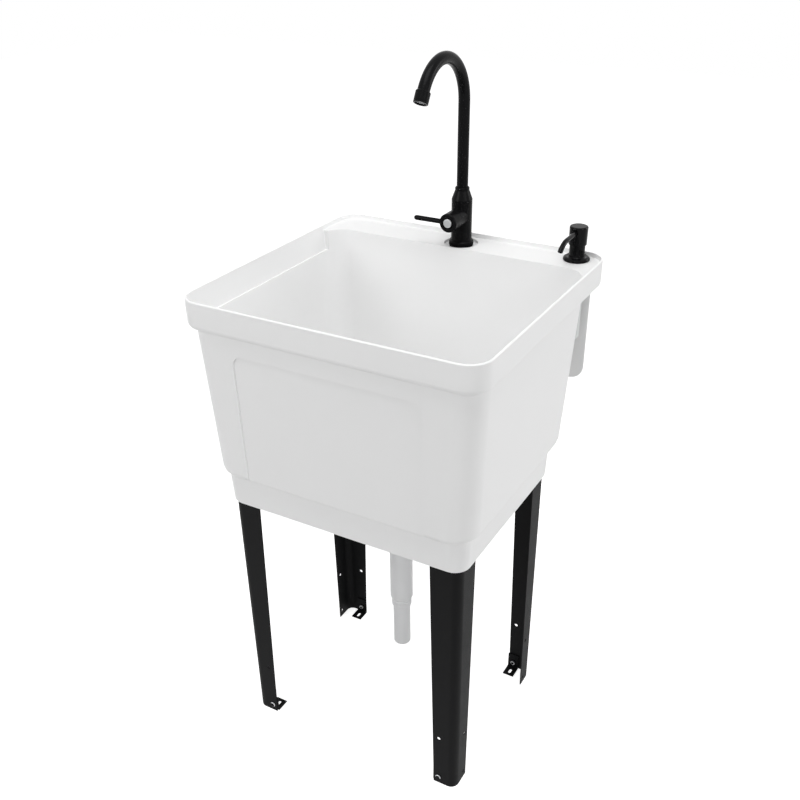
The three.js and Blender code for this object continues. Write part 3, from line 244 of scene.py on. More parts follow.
def path(name, points):
    """A new mesh, drawn as one line through points by extruding a vertex. It stays in edit mode."""
    deselect()
    bpy.ops.mesh.primitive_plane_add(size=MM, location=points[0])
    obj = bpy.context.object
    obj.name = name
    open_mesh()
    bpy.ops.mesh.merge(type="CENTER")
    for here, there in zip(points, points[1:]):
        step = tuple(b - a for a, b in zip(here, there))
        bpy.ops.mesh.extrude_vertices_move(TRANSFORM_OT_translate={"value": step})
    return obj


def extrude(step):
    """Draws the selected edges of the edited mesh out by a step."""
    bpy.ops.mesh.extrude_edges_move(TRANSFORM_OT_translate={"value": tuple(step)})


def settle():
    """Leaves edit mode with the object's place in its mesh."""
    bpy.ops.object.mode_set(mode="OBJECT")
    bpy.ops.object.transform_apply(location=True, rotation=True, scale=True)
    return bpy.context.object


def thicken(obj, wall, place, outside):
    """Gives an open sheet its wall, to the inside. The face nearest a place has to face outside."""
    nearest = min(obj.data.polygons, key=lambda face: (face.center - place).length)
    if nearest.normal.dot(outside) < 0:
        edit(obj)
        bpy.ops.mesh.flip_normals()
    modify(obj, "SOLIDIFY", thickness=wall, offset=-1)


UP = Vector((0, 0, 1))
FORWARD = Vector((0, -1, 0))
LEFT = Vector((-1, 0, 0))


def turned(name, profile, place, axis=UP, faces=56, ease=0.35):
    """A piece turned on a lathe: (radius, height) pairs in millimetres, spun round an axis from a
    place. A profile that doesn't start on the axis closes on itself, as a tube's does."""
    level = max(abs(axis.x), abs(axis.y)) > 0.99
    across = Vector((0, 0, 1)) if level else Vector((1, 0, 0))
    across = (across - axis * across.dot(axis)).normalized()
    outline = list(profile)
    if profile[0][0] > 0:
        start = tuple((a + b) / 2 for a, b in zip(profile[0], profile[1]))
        outline = [start, *profile[1:], profile[0], start]
    if ease:
        outline = rounded(outline, ease)
    points = [tuple(place + across * r * MM + axis * h * MM) for r, h in outline]
    path(name, points)
    bpy.ops.mesh.select_all(action="SELECT")
    bpy.ops.mesh.spin(steps=faces, angle=FULL_TURN, center=place, axis=axis, use_auto_merge=True)
    outward()
    return settle()


def ring_profile(inner, outer, height):
    return [(inner, 0), (outer, 0), (outer, height), (inner, height)]


def rod(name, radius, length_mm, place, axis, faces=32):
    """A plain round bar, most often one that drills a hole."""
    outline = [(0, 0), (radius, 0), (radius, length_mm), (0, length_mm)]
    return turned(name, outline, place, axis, faces, 0)


def copy_of(obj, name, matrix):
    """A copy with its own mesh, carried or mirrored to its place."""
    data = obj.data.copy()
    twin = bpy.data.objects.new(name, data)
    bpy.context.scene.collection.objects.link(twin)
    data.transform(matrix)
    if matrix.determinant() < 0:
        edit(twin)
        outward()
        bpy.ops.object.mode_set(mode="OBJECT")
    return twin


def dress(obj, material, slot, body, *nodes, smooth=34):
    """Gives a finished piece its look, and sets it on its body in place of its CAD nodes."""
    work_on(obj)
    bpy.ops.object.shade_smooth_by_angle(angle=math.radians(smooth))
    modify(obj, "WEIGHTED_NORMAL", keep_sharp=True, weight=60)
    obj.data.materials.clear()
    obj.data.materials.append(material)
    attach(obj, body)
    if nodes:
        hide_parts(*nodes)
    return obj


def recolour(obj, material, test):
    """Gives a second look to those faces of a dressed piece that pass a test."""
    obj.data.materials.append(material)
    for face in obj.data.polygons:
        if test(face):
            face.material_index = 1


def keep_node(node, material):
    """Leaves a CAD node in view with a better finish."""
    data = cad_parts[node].data
    data.materials.clear()
    data.materials.append(material)


# ---------------------------------------------------------------- finishes


GRAIN_DEPTH = 0.0004


def finish(name, tone, roughness, metallic=0.0, specular=0.5, *, mottle, mottle_scale, grain,
           grain_scale, rough_spread=0.06, stretch=(1, 1, 1)):
    """A surface whose tone and gloss drift a little, with a fine grain, all by place."""
    found = bpy.data.materials.get(name)
    if found:
        return found
    made = bpy.data.materials.new(name)
    made.use_nodes = True
    nodes, links = made.node_tree.nodes, made.node_tree.links
    shader = nodes["Principled BSDF"]
    shader.inputs["Metallic"].default_value = metallic
    shader.inputs["Specular IOR Level"].default_value = specular
    place = nodes.new("ShaderNodeTexCoord")
    run = nodes.new("ShaderNodeMapping")
    run.inputs["Scale"].default_value = stretch
    links.new(place.outputs["Object"], run.inputs["Vector"])

    drift = nodes.new("ShaderNodeTexNoise")
    drift.inputs["Scale"].default_value = mottle_scale
    drift.inputs["Detail"].default_value = 4
    links.new(run.outputs["Vector"], drift.inputs["Vector"])
    tones = nodes.new("ShaderNodeValToRGB")
    tones.color_ramp.elements[0].position = 0.3
    tones.color_ramp.elements[1].position = 0.7
    tones.color_ramp.elements[0].color = (*[c * (1 - mottle) for c in tone], 1)
    tones.color_ramp.elements[1].color = (*tone, 1)
    links.new(drift.outputs["Fac"], tones.inputs["Fac"])
    links.new(tones.outputs["Color"], shader.inputs["Base Color"])

    gloss = nodes.new("ShaderNodeMapRange")
    gloss.inputs["To Min"].default_value = roughness - rough_spread
    gloss.inputs["To Max"].default_value = roughness + rough_spread
    links.new(drift.outputs["Fac"], gloss.inputs["Value"])
    links.new(gloss.outputs["Result"], shader.inputs["Roughness"])

    fine = nodes.new("ShaderNodeTexNoise")
    fine.inputs["Scale"].default_value = grain_scale
    fine.inputs["Detail"].default_value = 3
    links.new(run.outputs["Vector"], fine.inputs["Vector"])
    bump = nodes.new("ShaderNodeBump")
    bump.inputs["Strength"].default_value = grain
    bump.inputs["Distance"].default_value = GRAIN_DEPTH
    links.new(fine.outputs["Fac"], bump.inputs["Height"])
    links.new(bump.outputs["Normal"], shader.inputs["Normal"])
    return made


def tub_plastic():
    return finish("White moulded plastic", bpy.context.scene.sink_colours.tub, 0.45, specular=0.2,
                  mottle=0.012, mottle_scale=5, grain=0.05, grain_scale=700, rough_spread=0.05)


def pipe_plastic():
    return finish("Pale grey plastic", bpy.context.scene.sink_colours.pipe, 0.45, specular=0.4,
                  mottle=0.03, mottle_scale=20, grain=0.06, grain_scale=500)


def leg_coat():
    return finish("Black powder coat", bpy.context.scene.sink_colours.leg, 0.55, specular=0.07,
                  mottle=0.25, mottle_scale=40, grain=0.35, grain_scale=1300, rough_spread=0.05)


def tap_black():
    return finish("Satin black tap", bpy.context.scene.sink_colours.tap, 0.26, specular=0.06,
                  mottle=0.2, mottle_scale=60, grain=0.06, grain_scale=1600, rough_spread=0.05)


def pump_black():
    return finish("Gloss black plastic", bpy.context.scene.sink_colours.pump, 0.08, specular=0.1,
                  mottle=0.2, mottle_scale=50, grain=0.04, grain_scale=300, rough_spread=0.03)


def plated_steel():
    return finish("Plated steel", bpy.context.scene.sink_colours.steel, 0.3, 1.0,
                  mottle=0.12, mottle_scale=120, grain=0.12, grain_scale=1500, rough_spread=0.08)


def brushed_steel():
    return finish("Brushed stainless steel", bpy.context.scene.sink_colours.steel, 0.27, 1.0,
                  mottle=0.1, mottle_scale=30, grain=0.2, grain_scale=120, rough_spread=0.08,
                  stretch=(1, 1, 14))


def yellow_brass():
    return finish("Yellow brass", bpy.context.scene.sink_colours.brass, 0.34, 1.0,
                  mottle=0.15, mottle_scale=90, grain=0.15, grain_scale=900, rough_spread=0.08)


def black_rubber():
    return finish("Black rubber", bpy.context.scene.sink_colours.rubber, 0.8, specular=0.3,
                  mottle=0.2, mottle_scale=80, grain=0.5, grain_scale=900)


def milky_plastic():
    return finish("Natural plastic", bpy.context.scene.sink_colours.bottle, 0.38, specular=0.4,
                  mottle=0.05, mottle_scale=25, grain=0.08, grain_scale=500)


# ---------------------------------------------------------------- tub


# Regions of the moulding, in millimetres: how far from the middle plane, how far back and how high.
ANY = math.inf
DECK_FRONT = ((-ANY, 245.5), (149.5, 172.5), (831.9, 832.1))
LEDGE = ((-ANY, 244), (-ANY, 149.5), (797.3, 797.7))
FRONT_RECESS = ((-ANY, 166), (-ANY, -215), (530, 775))
NO_ROOM = (
    ((-ANY, 246.7), (150.8, 236.7), (793.2, 828.8)),  # under the deck
    ((-ANY, 245), (-ANY, 151.5), (796.2, 798.8)),  # along the ledge
    ((230, ANY), (140, 156), (828, 833.5)),  # at the ends of the deck
    ((-ANY, 240), (234, ANY), (794, 804)),  # at the back of the rim band
)
RIM_HOLLOW = ((-ANY, ANY), (-ANY, ANY), (790, 832))
RIM_HOLLOW_END = 150


def inside(edge, region):
    """Whether the middle of an edge lies in a region, to either side of the middle plane."""
    spot = between(edge) / MM
    place = (abs(spot.x), spot.y, spot.z)
    return all(low < value < high for value, (low, high) in zip(place, region))


def on_deck_front(edge):
    return inside(edge, DECK_FRONT)


def on_ledge(edge):
    return inside(edge, LEDGE)


def in_front_recess(edge):
    return inside(edge, FRONT_RECESS)


def at_end_of_rim_hollow(edge):
    """An upright edge where the hollow behind the rim ends, in front of the deck."""
    upright = abs(edge.verts[0].co.z - edge.verts[1].co.z) > 20 * MM
    at_end = all(abs(vert.co.y / MM - RIM_HOLLOW_END) < 0.3 for vert in edge.verts)
    return upright and at_end and inside(edge, RIM_HOLLOW)


def open_to_view(edge):
    """Everything else, but for places where the rounding has no room."""
    return not any(inside(edge, region) for region in (*NO_ROOM, FRONT_RECESS))


def soften(degrees, chosen, width, steps=3, clamp=True):
    """Rounds those sharp edges of the edited mesh that pass a test, and merges what comes together."""
    pick("EDGE", lambda e: len(e.link_faces) == 2 and e.calc_face_angle() > math.radians(degrees)
         and chosen(e))
    bpy.ops.mesh.bevel(offset=width, segments=steps, clamp_overlap=clamp)
    bpy.ops.mesh.select_mode(type="VERT")
    bpy.ops.mesh.select_all(action="SELECT")
    bpy.ops.mesh.remove_doubles(threshold=0.05 * MM)


class SINK_OT_tub(bpy.types.Operator):
    """Rounds the edges of the moulded tub"""

    bl_idname = "sink.tub"
    bl_label = "Tub"

    def execute(self, context):
        sizes = context.scene.sink_sizes
        tub = copy_of(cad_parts["tub"], "tub_moulding", Matrix())
        edit(tub)
        bpy.ops.mesh.remove_doubles(threshold=0.005 * MM)
        bpy.ops.mesh.select_all(action="SELECT")
        bpy.ops.mesh.dissolve_limited(angle_limit=math.radians(0.6))

        soften(20, on_deck_front, sizes.deck_edge, 4)
        for chosen in (on_ledge, at_end_of_rim_hollow, in_front_recess):
            soften(30, chosen, sizes.tub_edge * 0.8)
        soften(36, open_to_view, sizes.tub_edge, clamp=False)
        bpy.ops.object.mode_set(mode="OBJECT")
        dress(tub, tub_plastic(), "tub_plastic", "sink", "tub", smooth=38)
        return {"FINISHED"}


# ---------------------------------------------------------------- legs and feet

CORNERS = ("front_left", "front_right", "back_left", "back_right")


def corner_of(name):
    """Where the outer faces of a leg meet, and which way its flanges run."""
    low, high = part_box("leg_" + name)
    right, back = "right" in name, "back" in name
    place = Vector((high.x if right else low.x, high.y if back else low.y, 0))
    return place, Vector((-1 if right else 1, -1 if back else 1, 1))


def at_corner(name):
    """Carries a shape made for the front left corner at the origin to its corner of the sink."""
    place, way = corner_of(name)
    return Matrix.Translation(place) @ Matrix.Diagonal((*way, 1))


LEG_FOOT_WIDTH = 42 * MM
HOLE_INSET = 33 * MM
HOLE_HEIGHT = 110 * MM
BOLT_HEIGHT = 14 * MM
# Radius of the painted shade in the middle of each bolt's head.
PAINTED_SHADE_RADIUS = 4 * MM
# Radii in millimetres.
HOLE_RADIUS = 3.25
BOLT_HOLE_RADIUS = 2.8


def bent_leg(sizes):
    """A leg at the origin: an angle in sheet steel that widens upwards."""
    low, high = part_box("leg_front_left")
    top_width, height = high.x - low.x, high.z - low.z
    bend = sizes.leg_bend
    arc = [math.radians(180 + 90 * i / 10) for i in range(11)]
    bow = [(bend + bend * math.cos(a), bend + bend * math.sin(a), 0) for a in arc]
    leg = path("leg", [(0, LEG_FOOT_WIDTH, 0), *bow, (LEG_FOOT_WIDTH, 0, 0)])
    bpy.ops.mesh.select_all(action="SELECT")
    extrude((0, 0, height))
    settle()
    edit(leg)
    wider, end = top_width - LEG_FOOT_WIDTH, LEG_FOOT_WIDTH - 0.1 * MM
    pick("VERT", lambda v: v.co.z > height / 2 and v.co.y > end)
    bpy.ops.transform.translate(value=(0, wider, 0))
    pick("VERT", lambda v: v.co.z > height / 2 and v.co.x > end)
    bpy.ops.transform.translate(value=(wider, 0, 0))
    outward()
    settle()
    thicken(leg, sizes.leg_sheet, Vector((LEG_FOOT_WIDTH, 0, 0)), FORWARD)
    for hole_height, radius in ((HOLE_HEIGHT, HOLE_RADIUS), (BOLT_HEIGHT, BOLT_HOLE_RADIUS)):
        for x, y, axis in ((HOLE_INSET, -5 * MM, -FORWARD), (-5 * MM, HOLE_INSET, -LEFT)):
            combine(leg, rod("drill", radius, 12, Vector((x, y, hole_height)), axis), "DIFFERENCE")
    bevel(leg, 0.25, 50)
    return leg


def foot_plate(sizes):
    """A foot plate at the origin: a tab behind the leg's flange, and a slotted plate below it."""
    back, bend, wide, tall, deep = 2.1 * MM, 3.5 * MM, 22 * MM, 34 * MM, 27 * MM
    left = HOLE_INSET - wide / 2
    arc = [math.radians(180 + 90 * i / 6) for i in range(7)]
    bow = [(left, back + bend + bend * math.cos(a), bend + bend * math.sin(a)) for a in arc]
    plate = path("foot_plate", [(left, back, tall), *bow, (left, back + deep, 0)])
    bpy.ops.mesh.select_all(action="SELECT")
    extrude((wide, 0, 0))
    outward()
    settle()
    thicken(plate, sizes.plate_sheet, Vector((HOLE_INSET, back + 20 * MM, 0)), -UP)
    middle_of_slot = Vector((HOLE_INSET, back + deep / 2 + 2 * MM, -2 * MM))
    bpy.ops.mesh.primitive_cylinder_add(
        vertices=32, radius=2.75 * MM, depth=8 * MM, location=middle_of_slot
    )
    slot = bpy.context.object
    bpy.ops.object.mode_set(mode="EDIT")
    for side in (-1, 1):
        pick("VERT", lambda v, s=side: v.co.y * s > 0.01 * MM)
        bpy.ops.transform.translate(value=(0, side * 3.25 * MM, 0))
    settle()
    combine(plate, slot, "DIFFERENCE")
    spot = Vector((HOLE_INSET, -4 * MM, BOLT_HEIGHT))
    combine(plate, rod("drill", BOLT_HOLE_RADIUS, 12, spot, -FORWARD), "DIFFERENCE")
    bevel(plate, 0.3, 50)
    return plate


def cross_head(name, place, axis, shank, length_mm, head, height):
    """A screw with a domed head and a cross recess, its head's underside at a place."""
    screw = turned(name, [
        (0, -length_mm), (shank * 0.8, -length_mm), (shank, 0.6 - length_mm), (shank, 0), (head, 0),
        (head, height * 0.3), (head * 0.86, height * 0.68), (head * 0.55, height * 0.93),
        (0, height),
    ], place, axis, 40, 0.15)
    long_side, short_side = head * 0.95, head * 0.2
    for wide, tall in ((short_side, long_side), (long_side, short_side)):
        bpy.ops.mesh.primitive_cube_add(size=1, location=place + axis * height * MM)
        blade = bpy.context.object
        blade.scale = (wide * MM, height * 1.1 * MM, tall * MM)
        bpy.ops.object.transform_apply(location=True, rotation=True, scale=True)
        combine(screw, blade, "DIFFERENCE")
    return screw


def hex_nut(name, place, axis, across, height, hole):
    """A hexagonal nut with its corners turned off."""
    corner = across / math.sqrt(3)
    nut = turned(name, ring_profile(hole, corner, height), place, axis, 6, 0)
    chamfer = turned("chamfer", [
        (0, -1), (across / 2 - 0.2, 0), (corner + 0.2, height * 0.2), (corner + 0.2, height * 0.8),
        (across / 2 - 0.2, height), (0, height + 1),
    ], place, axis, 48, 0)
    combine(nut, chamfer, "INTERSECT")
    return nut


class SINK_OT_legs(bpy.types.Operator):
    """Bends one leg and sets it at the four corners"""

    bl_idname = "sink.legs"
    bl_label = "Legs"

    def execute(self, context):
        leg = bent_leg(context.scene.sink_sizes)
        for name in CORNERS:
            twin = copy_of(leg, "bent_leg_" + name, at_corner(name))
            dress(twin, leg_coat(), "black_steel", "sink", "leg_" + name)
        bpy.data.objects.remove(leg)
        return {"FINISHED"}


class SINK_OT_feet(bpy.types.Operator):
    """Makes the foot plates with their bolts and nuts, and the screws at the legs' tops"""

    bl_idname = "sink.feet"
    bl_label = "Feet"

    def execute(self, context):
        plate = foot_plate(context.scene.sink_sizes)
        bolt_place = Vector((HOLE_INSET, -0.3 * MM, BOLT_HEIGHT))
        bolt = cross_head("bolt", bolt_place, FORWARD, 2.5, 9.3, 5, 2.6)
        nut = hex_nut("nut", Vector((HOLE_INSET, 4.4 * MM, BOLT_HEIGHT)), -FORWARD, 8, 3.6, 2.8)
        low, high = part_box("leg_screw_front_left")
        corner, _ = corner_of("front_left")
        screw_place = Vector((HOLE_INSET, high.y - corner.y - 2.2 * MM, (low.z + high.z) / 2))
        screw_length = (screw_place.y - (low.y - corner.y)) / MM
        screw = cross_head("screw", screw_place, -FORWARD, 2, screw_length, 4, 2.2)
        for name in CORNERS:
            place = at_corner(name)
            bracket = copy_of(plate, "foot_plate_" + name, place)
            dress(bracket, leg_coat(), "black_steel", "sink", "foot_bracket_" + name)
            for pattern, piece, node in (
                (bolt, "cross_head_bolt_", "foot_bolt_"),
                (nut, "hex_nut_", "foot_nut_"),
                (screw, "top_screw_", "leg_screw_"),
            ):
                twin = copy_of(pattern, piece + name, place)
                dress(twin, plated_steel(), "bright_steel", "sink", node + name)
                # Painted shade: the middle of each bolt's head takes the legs' black.
                if pattern is bolt:
                    self.paint_recess_shade(twin, place @ Vector((HOLE_INSET, 0, BOLT_HEIGHT)))
        for pattern in (plate, bolt, nut, screw):
            bpy.data.objects.remove(pattern)
        return {"FINISHED"}

    def paint_recess_shade(self, bolt, centre):
        """Paints shade on the middle of a bolt's head, where its cross recess lies: the legs' black on
        the plated steel.
        """
        recolour(bolt, leg_coat(), lambda face: math.hypot(
            face.center.x - centre.x, face.center.z - centre.z) < PAINTED_SHADE_RADIUS)


# ---------------------------------------------------------------- drain


def on_drain(node):
    return Vector((DRAIN.x, DRAIN.y, foot(node)))


def raise_faces(obj, count, share, height, axis_place):
    """Pushes out some of a turned piece's side faces, by a height in millimetres: as many evenly
    spaced groups as counted, each this share of its sector wide."""
    edit(obj)

    def chosen(face):
        if abs(face.normal.z) > 0.3:
            return False
        centre = face.calc_center_median()
        out = Vector((centre.x - axis_place.x, centre.y - axis_place.y, 0))
        if face.normal.dot(out) < 0:
            return False
        place = (math.atan2(out.y, out.x) / FULL_TURN * count) % 1
        return min(place, 1 - place) < share / 2

    pick("FACE", chosen)
    bpy.ops.mesh.extrude_region_shrink_fatten(TRANSFORM_OT_shrink_fatten={"value": height * MM})
    bpy.ops.object.mode_set(mode="OBJECT")


class SINK_OT_strainer(bpy.types.Operator):
    """Turns the drain fitting in the tub's floor and the basket that lifts out of it"""

    bl_idname = "sink.strainer"
    bl_label = "Strainer"

    def execute(self, context):
        body = turned("drain_fitting", [
            (16, 0), (18, 0), (18, 17.4), (31, 17.4), (34, 22), (34, 55.3), (43, 55.3), (42, 56.9),
            (34.4, 57.9), (31.4, 56.5), (31.4, 23), (28.4, 20), (16, 20),
        ], on_drain("drain_body"), faces=72)
        dress(body, brushed_steel(), "stainless", "sink", "drain_body")

        place = on_drain("drain_basket")
        basket = turned("basket", [
            (0, 0), (25.2, 0), (30.2, 5), (30.2, 24), (28.6, 24), (28.6, 5.4), (24.6, 1.6),
            (3, 1.6), (3, 15), (6, 18.5), (9, 22), (7.2, 25), (0, 26),
        ], place, faces=64, ease=0.5)
        rings_of_holes = ((8, 17.5, 2.5, 0), (8, 10.5, 1.8, 0.5), (16, 23, 1.6, 0.5))
        for count, reach, radius, shift in rings_of_holes:
            for i in range(count):
                turn = (i + shift) * FULL_TURN / count
                spot = place + Vector((math.cos(turn), math.sin(turn), 0)) * reach * MM
                combine(basket, rod("drill", radius, 4, spot - UP * MM, UP, 16), "DIFFERENCE")
        dress(basket, brushed_steel(), "stainless", "basket", "drain_basket")

        place = on_drain("basket_seal")
        seal = turned("basket_ring", ring_profile(17, 24.2, 10.4), place, ease=1.2)
        dress(seal, black_rubber(), "rubber", "basket", "basket_seal")
        return {"FINISHED"}


class SINK_OT_drain(bpy.types.Operator):
    """Turns the nuts and pipes under the tub"""

    bl_idname = "sink.drain"
    bl_label = "Drain"

    def execute(self, context):
        place = on_drain("drain_gasket")
        gasket = turned("floor_gasket", ring_profile(34.3, 43, 3), place, faces=64, ease=0.8)
        dress(gasket, black_rubber(), "rubber", "sink", "drain_gasket")

        place = on_drain("drain_locknut")
        locknut = turned("winged_locknut", ring_profile(34.3, 40, 9), place, faces=72, ease=0)
        raise_faces(locknut, 6, 0.17, 5.9, DRAIN)
        bevel(locknut, 0.8, 40)
        dress(locknut, pipe_plastic(), "grey_plastic", "sink", "drain_locknut")

        upper = turned("upper_pipe", [
            (16.3, 0), (18.4, 0), (18.4, 3.5), (17.1, 5), (17.1, 6.6), (21, 11.5), (21, 294.6),
            (19, 294.6), (19, 13), (16.3, 9),
        ], on_drain("drain_upper_tube"), ease=0.4)
        dress(upper, pipe_plastic(), "grey_plastic", "sink", "drain_upper_tube")

        nut = turned("ribbed_nut", [
            (21.3, 0), (26.4, 0), (27.7, 14), (27.7, 18), (21.3, 18),
        ], on_drain("drain_tube_nut"), faces=72, ease=0)
        raise_faces(nut, 18, 0.5, 0.7, DRAIN)
        bevel(nut, 0.3, 40)
        dress(nut, pipe_plastic(), "grey_plastic", "sink", "drain_tube_nut")

        ring = turned("slip_ring", [
            (16.3, 0), (16.9, 0), (18.4, 1.8), (18.4, 10), (16.3, 10),
        ], on_drain("drain_slip_ring"), ease=0.3)
        dress(ring, pipe_plastic(), "grey_plastic", "sink", "drain_slip_ring")

        lower = turned("lower_pipe", [
            (14, 0), (15.5, 0), (16, 0.8), (16, 126), (14, 126),
        ], on_drain("drain_lower_tube"), ease=0.3)
        dress(lower, pipe_plastic(), "grey_plastic", "sink", "drain_lower_tube")
        return {"FINISHED"}


# ---------------------------------------------------------------- tap


def on_tap(node):
    return Vector((TAP.x, TAP.y, foot(node)))


class SINK_OT_tap(bpy.types.Operator):
    """Turns the tap's body with its barrel, the cone nut above it and the rubber ring under it"""

    bl_idname = "sink.tap"
    bl_label = "Tap"

    def execute(self, context):
        place = on_tap("tap_body")
        body = turned("tap_column", [
            (0, 0), (20, 0), (21, 1), (21, 7), (19.4, 8.9), (17.5, 9.5), (17.5, 74.5), (0, 74.5),
        ], place, faces=64, ease=0.35)
        barrel_place = Vector((TAP.x, TAP.y, HUB.z))
        barrel = turned("barrel", [
            (0, 0), (15.5, 0), (15.5, 29.5), (0, 29.5),
        ], barrel_place, FORWARD, 64, 0.5)
        combine(body, barrel, "UNION")
        bores = (
            rod("bore", 9.8, 17.3, barrel_place + FORWARD * 13.2 * MM, FORWARD, 48),
            rod("bore", 9.8, 24.4, place + UP * 51.1 * MM, UP, 48),
            rod("bore", 10.3, 17.3, place - UP * MM, UP, 48),
            rod("bore", 6, 39.5, place + UP * 15 * MM, UP, 32),
        )
        for bore in bores:
            combine(body, bore, "DIFFERENCE")
        dress(body, tap_black(), "satin_black", "sink", "tap_body")

        bonnet = turned("cone_nut", [
            (9.8, 0), (17.5, 0), (17.5, 3), (12, 17.7), (12, 21.7), (11, 22.7), (9.8, 22.7),
        ], on_tap("spout_bonnet"), faces=64, ease=0.3)
        dress(bonnet, tap_black(), "satin_black", "sink", "spout_bonnet")

        gasket = turned("tap_ring", ring_profile(10.3, 20, 1.5), on_tap("tap_gasket"), ease=0.4)
        dress(gasket, black_rubber(), "rubber", "sink", "tap_gasket")
        return {"FINISHED"}


class SINK_OT_clamp(bpy.types.Operator):
    """Makes the threaded shank under the tap with its washer, plate and nut"""

    bl_idname = "sink.clamp"
    bl_label = "Tap clamp"

    def execute(self, context):
        pitch = context.scene.sink_sizes.thread_pitch / MM
        start, thread_length = 1.2, 43
        turns = int(thread_length / pitch)
        thread = []
        for i in range(turns):
            low = start + i * pitch
            thread += [(9.3, low), (10, low + pitch * 0.5)]
        top = start + turns * pitch
        shank = turned("threaded_shank", [
            (6, 0), (9.3, 0), *thread, (9.3, top), (10, top + 1), (10, 62), (6, 62),
        ], on_tap("tap_shank"), faces=48, ease=0)
        dress(shank, yellow_brass(), "brass", "sink", "tap_shank", smooth=20)

        washer = turned("clamp_washer", ring_profile(10.3, 18, 4.5), on_tap("tap_washer"), ease=0.8)
        dress(washer, black_rubber(), "rubber", "sink", "tap_washer")
        place = on_tap("tap_clamp_plate")
        plate = turned("clamp_plate", ring_profile(10.3, 18, 1.6), place, ease=0.3)
        dress(plate, plated_steel(), "bright_steel", "sink", "tap_clamp_plate")
        nut = hex_nut("clamp_nut", on_tap("tap_nut"), UP, 30, 10, 10.3)
        dress(nut, yellow_brass(), "brass", "sink", "tap_nut")
        for node in ("valve_cartridge", "valve_stem"):
            keep_node(node, yellow_brass())
        return {"FINISHED"}


SPOUT_RADIUS = 9.5 * MM
SPOUT_STRAIGHT = 177.8 * MM
SPOUT_TURN = math.radians(150)
SPOUT_STUB = 7 * MM


class SINK_OT_spout(bpy.types.Operator):
    """Bends the gooseneck and fits the aerator at its end"""

    bl_idname = "sink.spout"
    bl_label = "Spout"

    def execute(self, context):
        sizes = context.scene.sink_sizes
        bow = sizes.spout_bow
        place = on_tap("spout")
        deselect()
        bpy.ops.mesh.primitive_circle_add(vertices=48, radius=SPOUT_RADIUS, location=place)
        spout = context.object
        spout.name = "gooseneck"
        open_mesh()
        extrude((0, 0, SPOUT_STRAIGHT))
        centre = place + Vector((0, -bow, SPOUT_STRAIGHT))
        bpy.ops.mesh.spin(steps=44, angle=SPOUT_TURN, center=centre, axis=(-1, 0, 0))
        end_way = Vector((0, -math.sin(SPOUT_TURN), math.cos(SPOUT_TURN)))
        extrude(end_way * SPOUT_STUB)
        outward()
        settle()
        thicken(spout, sizes.spout_wall, place + Vector((SPOUT_RADIUS, 0, 50 * MM)), -LEFT)
        dress(spout, tap_black(), "satin_black", "spout", "spout")
        keep_node("spout_seal", black_rubber())

        end_of_bow = centre + Vector((0, bow * math.cos(SPOUT_TURN), bow * math.sin(SPOUT_TURN)))
        end = end_of_bow + end_way * SPOUT_STUB
        housing = turned("aerator_sleeve", [
            (9.8, -7), (10.3, -7), (11.5, -5.8), (11.5, 7.6), (11.1, 8), (11.1, 8.6), (11.5, 9),
            (11.5, 10.4), (10.9, 11), (8.4, 11), (8.4, 9), (9.8, 9),
        ], end, end_way, 56, 0.25)
        dress(housing, tap_black(), "satin_black", "spout", "aerator_housing")
        keep_node("aerator_washer", black_rubber())

        screen = turned("aerator_insert", [
            (7.7, 2.6), (9.3, 2.6), (9.3, 8.7), (7.7, 8.7),
        ], end, end_way, 48, 0.2)
        side = Vector((1, 0, 0))
        up = end_way.cross(side)
        gap, mesh_radius, depth = 2.9, 8.15, 7.6
        for i in range(-2, 3):
            for across, along in ((side, up), (up, side)):
                reach = math.sqrt(mesh_radius**2 - (i * gap) ** 2)
                spot = end + end_way * depth * MM + across * i * gap * MM - along * reach * MM
                combine(screen, rod("bar", 0.45, 2 * reach, spot, along, 8), "UNION")
        dress(screen, plated_steel(), "bright_steel", "spout", "aerator_screen")
        return {"FINISHED"}


class SINK_OT_lever(bpy.types.Operator):
    """Turns the lever's hub, its bright cap and its arm"""

    bl_idname = "sink.lever"
    bl_label = "Lever"

    def execute(self, context):
        place = Vector((TAP.x, HUB_BACK, HUB.z))
        hub = turned("hub", [
            (0, 11.3), (4.3, 11.3), (4.3, 0), (15.5, 0), (15.5, 21.6), (14, 23.1), (10.8, 23.1),
            (10.1, 23.7), (9.2, 23.7), (8.4, 22.6), (7.5, 22.6), (7.5, 21.3), (0, 21.3),
        ], place, FORWARD, 64, 0.35)
        arm_place = Vector((TAP.x, middle("lever_arm").y, HUB.z))
        combine(hub, rod("drill", 2.6, 8, arm_place + LEFT * 10.2 * MM, LEFT, 24), "DIFFERENCE")
        dress(hub, tap_black(), "satin_black", "lever", "lever_hub")

        cap = turned("cap_button", [
            (0, 21.6), (7.2, 21.6), (7.2, 23.7), (6, 24.4), (0, 24.7),
        ], place, FORWARD, 56, 0.4)
        dress(cap, plated_steel(), "bright_steel", "lever", "lever_cap")

        arm = turned("arm", [
            (0, 10.5), (2.3, 10.5), (2.3, 15.8), (4, 15.8), (4.1, 59.3), (3.8, 62.5), (2.5, 64.4),
            (0, 65),
        ], arm_place, LEFT, 40, 0.5)
        dress(arm, tap_black(), "satin_black", "lever", "lever_arm")
        return {"FINISHED"}


# ---------------------------------------------------------------- soap pump


def on_pump(node):
    return Vector((PUMP.x, PUMP.y, foot(node)))


NOZZLE_RADIUS = 4.1 * MM
NOZZLE_REACH = 79 * MM
NOZZLE_BEND = 38 * MM
NOZZLE_TURN = math.radians(44)


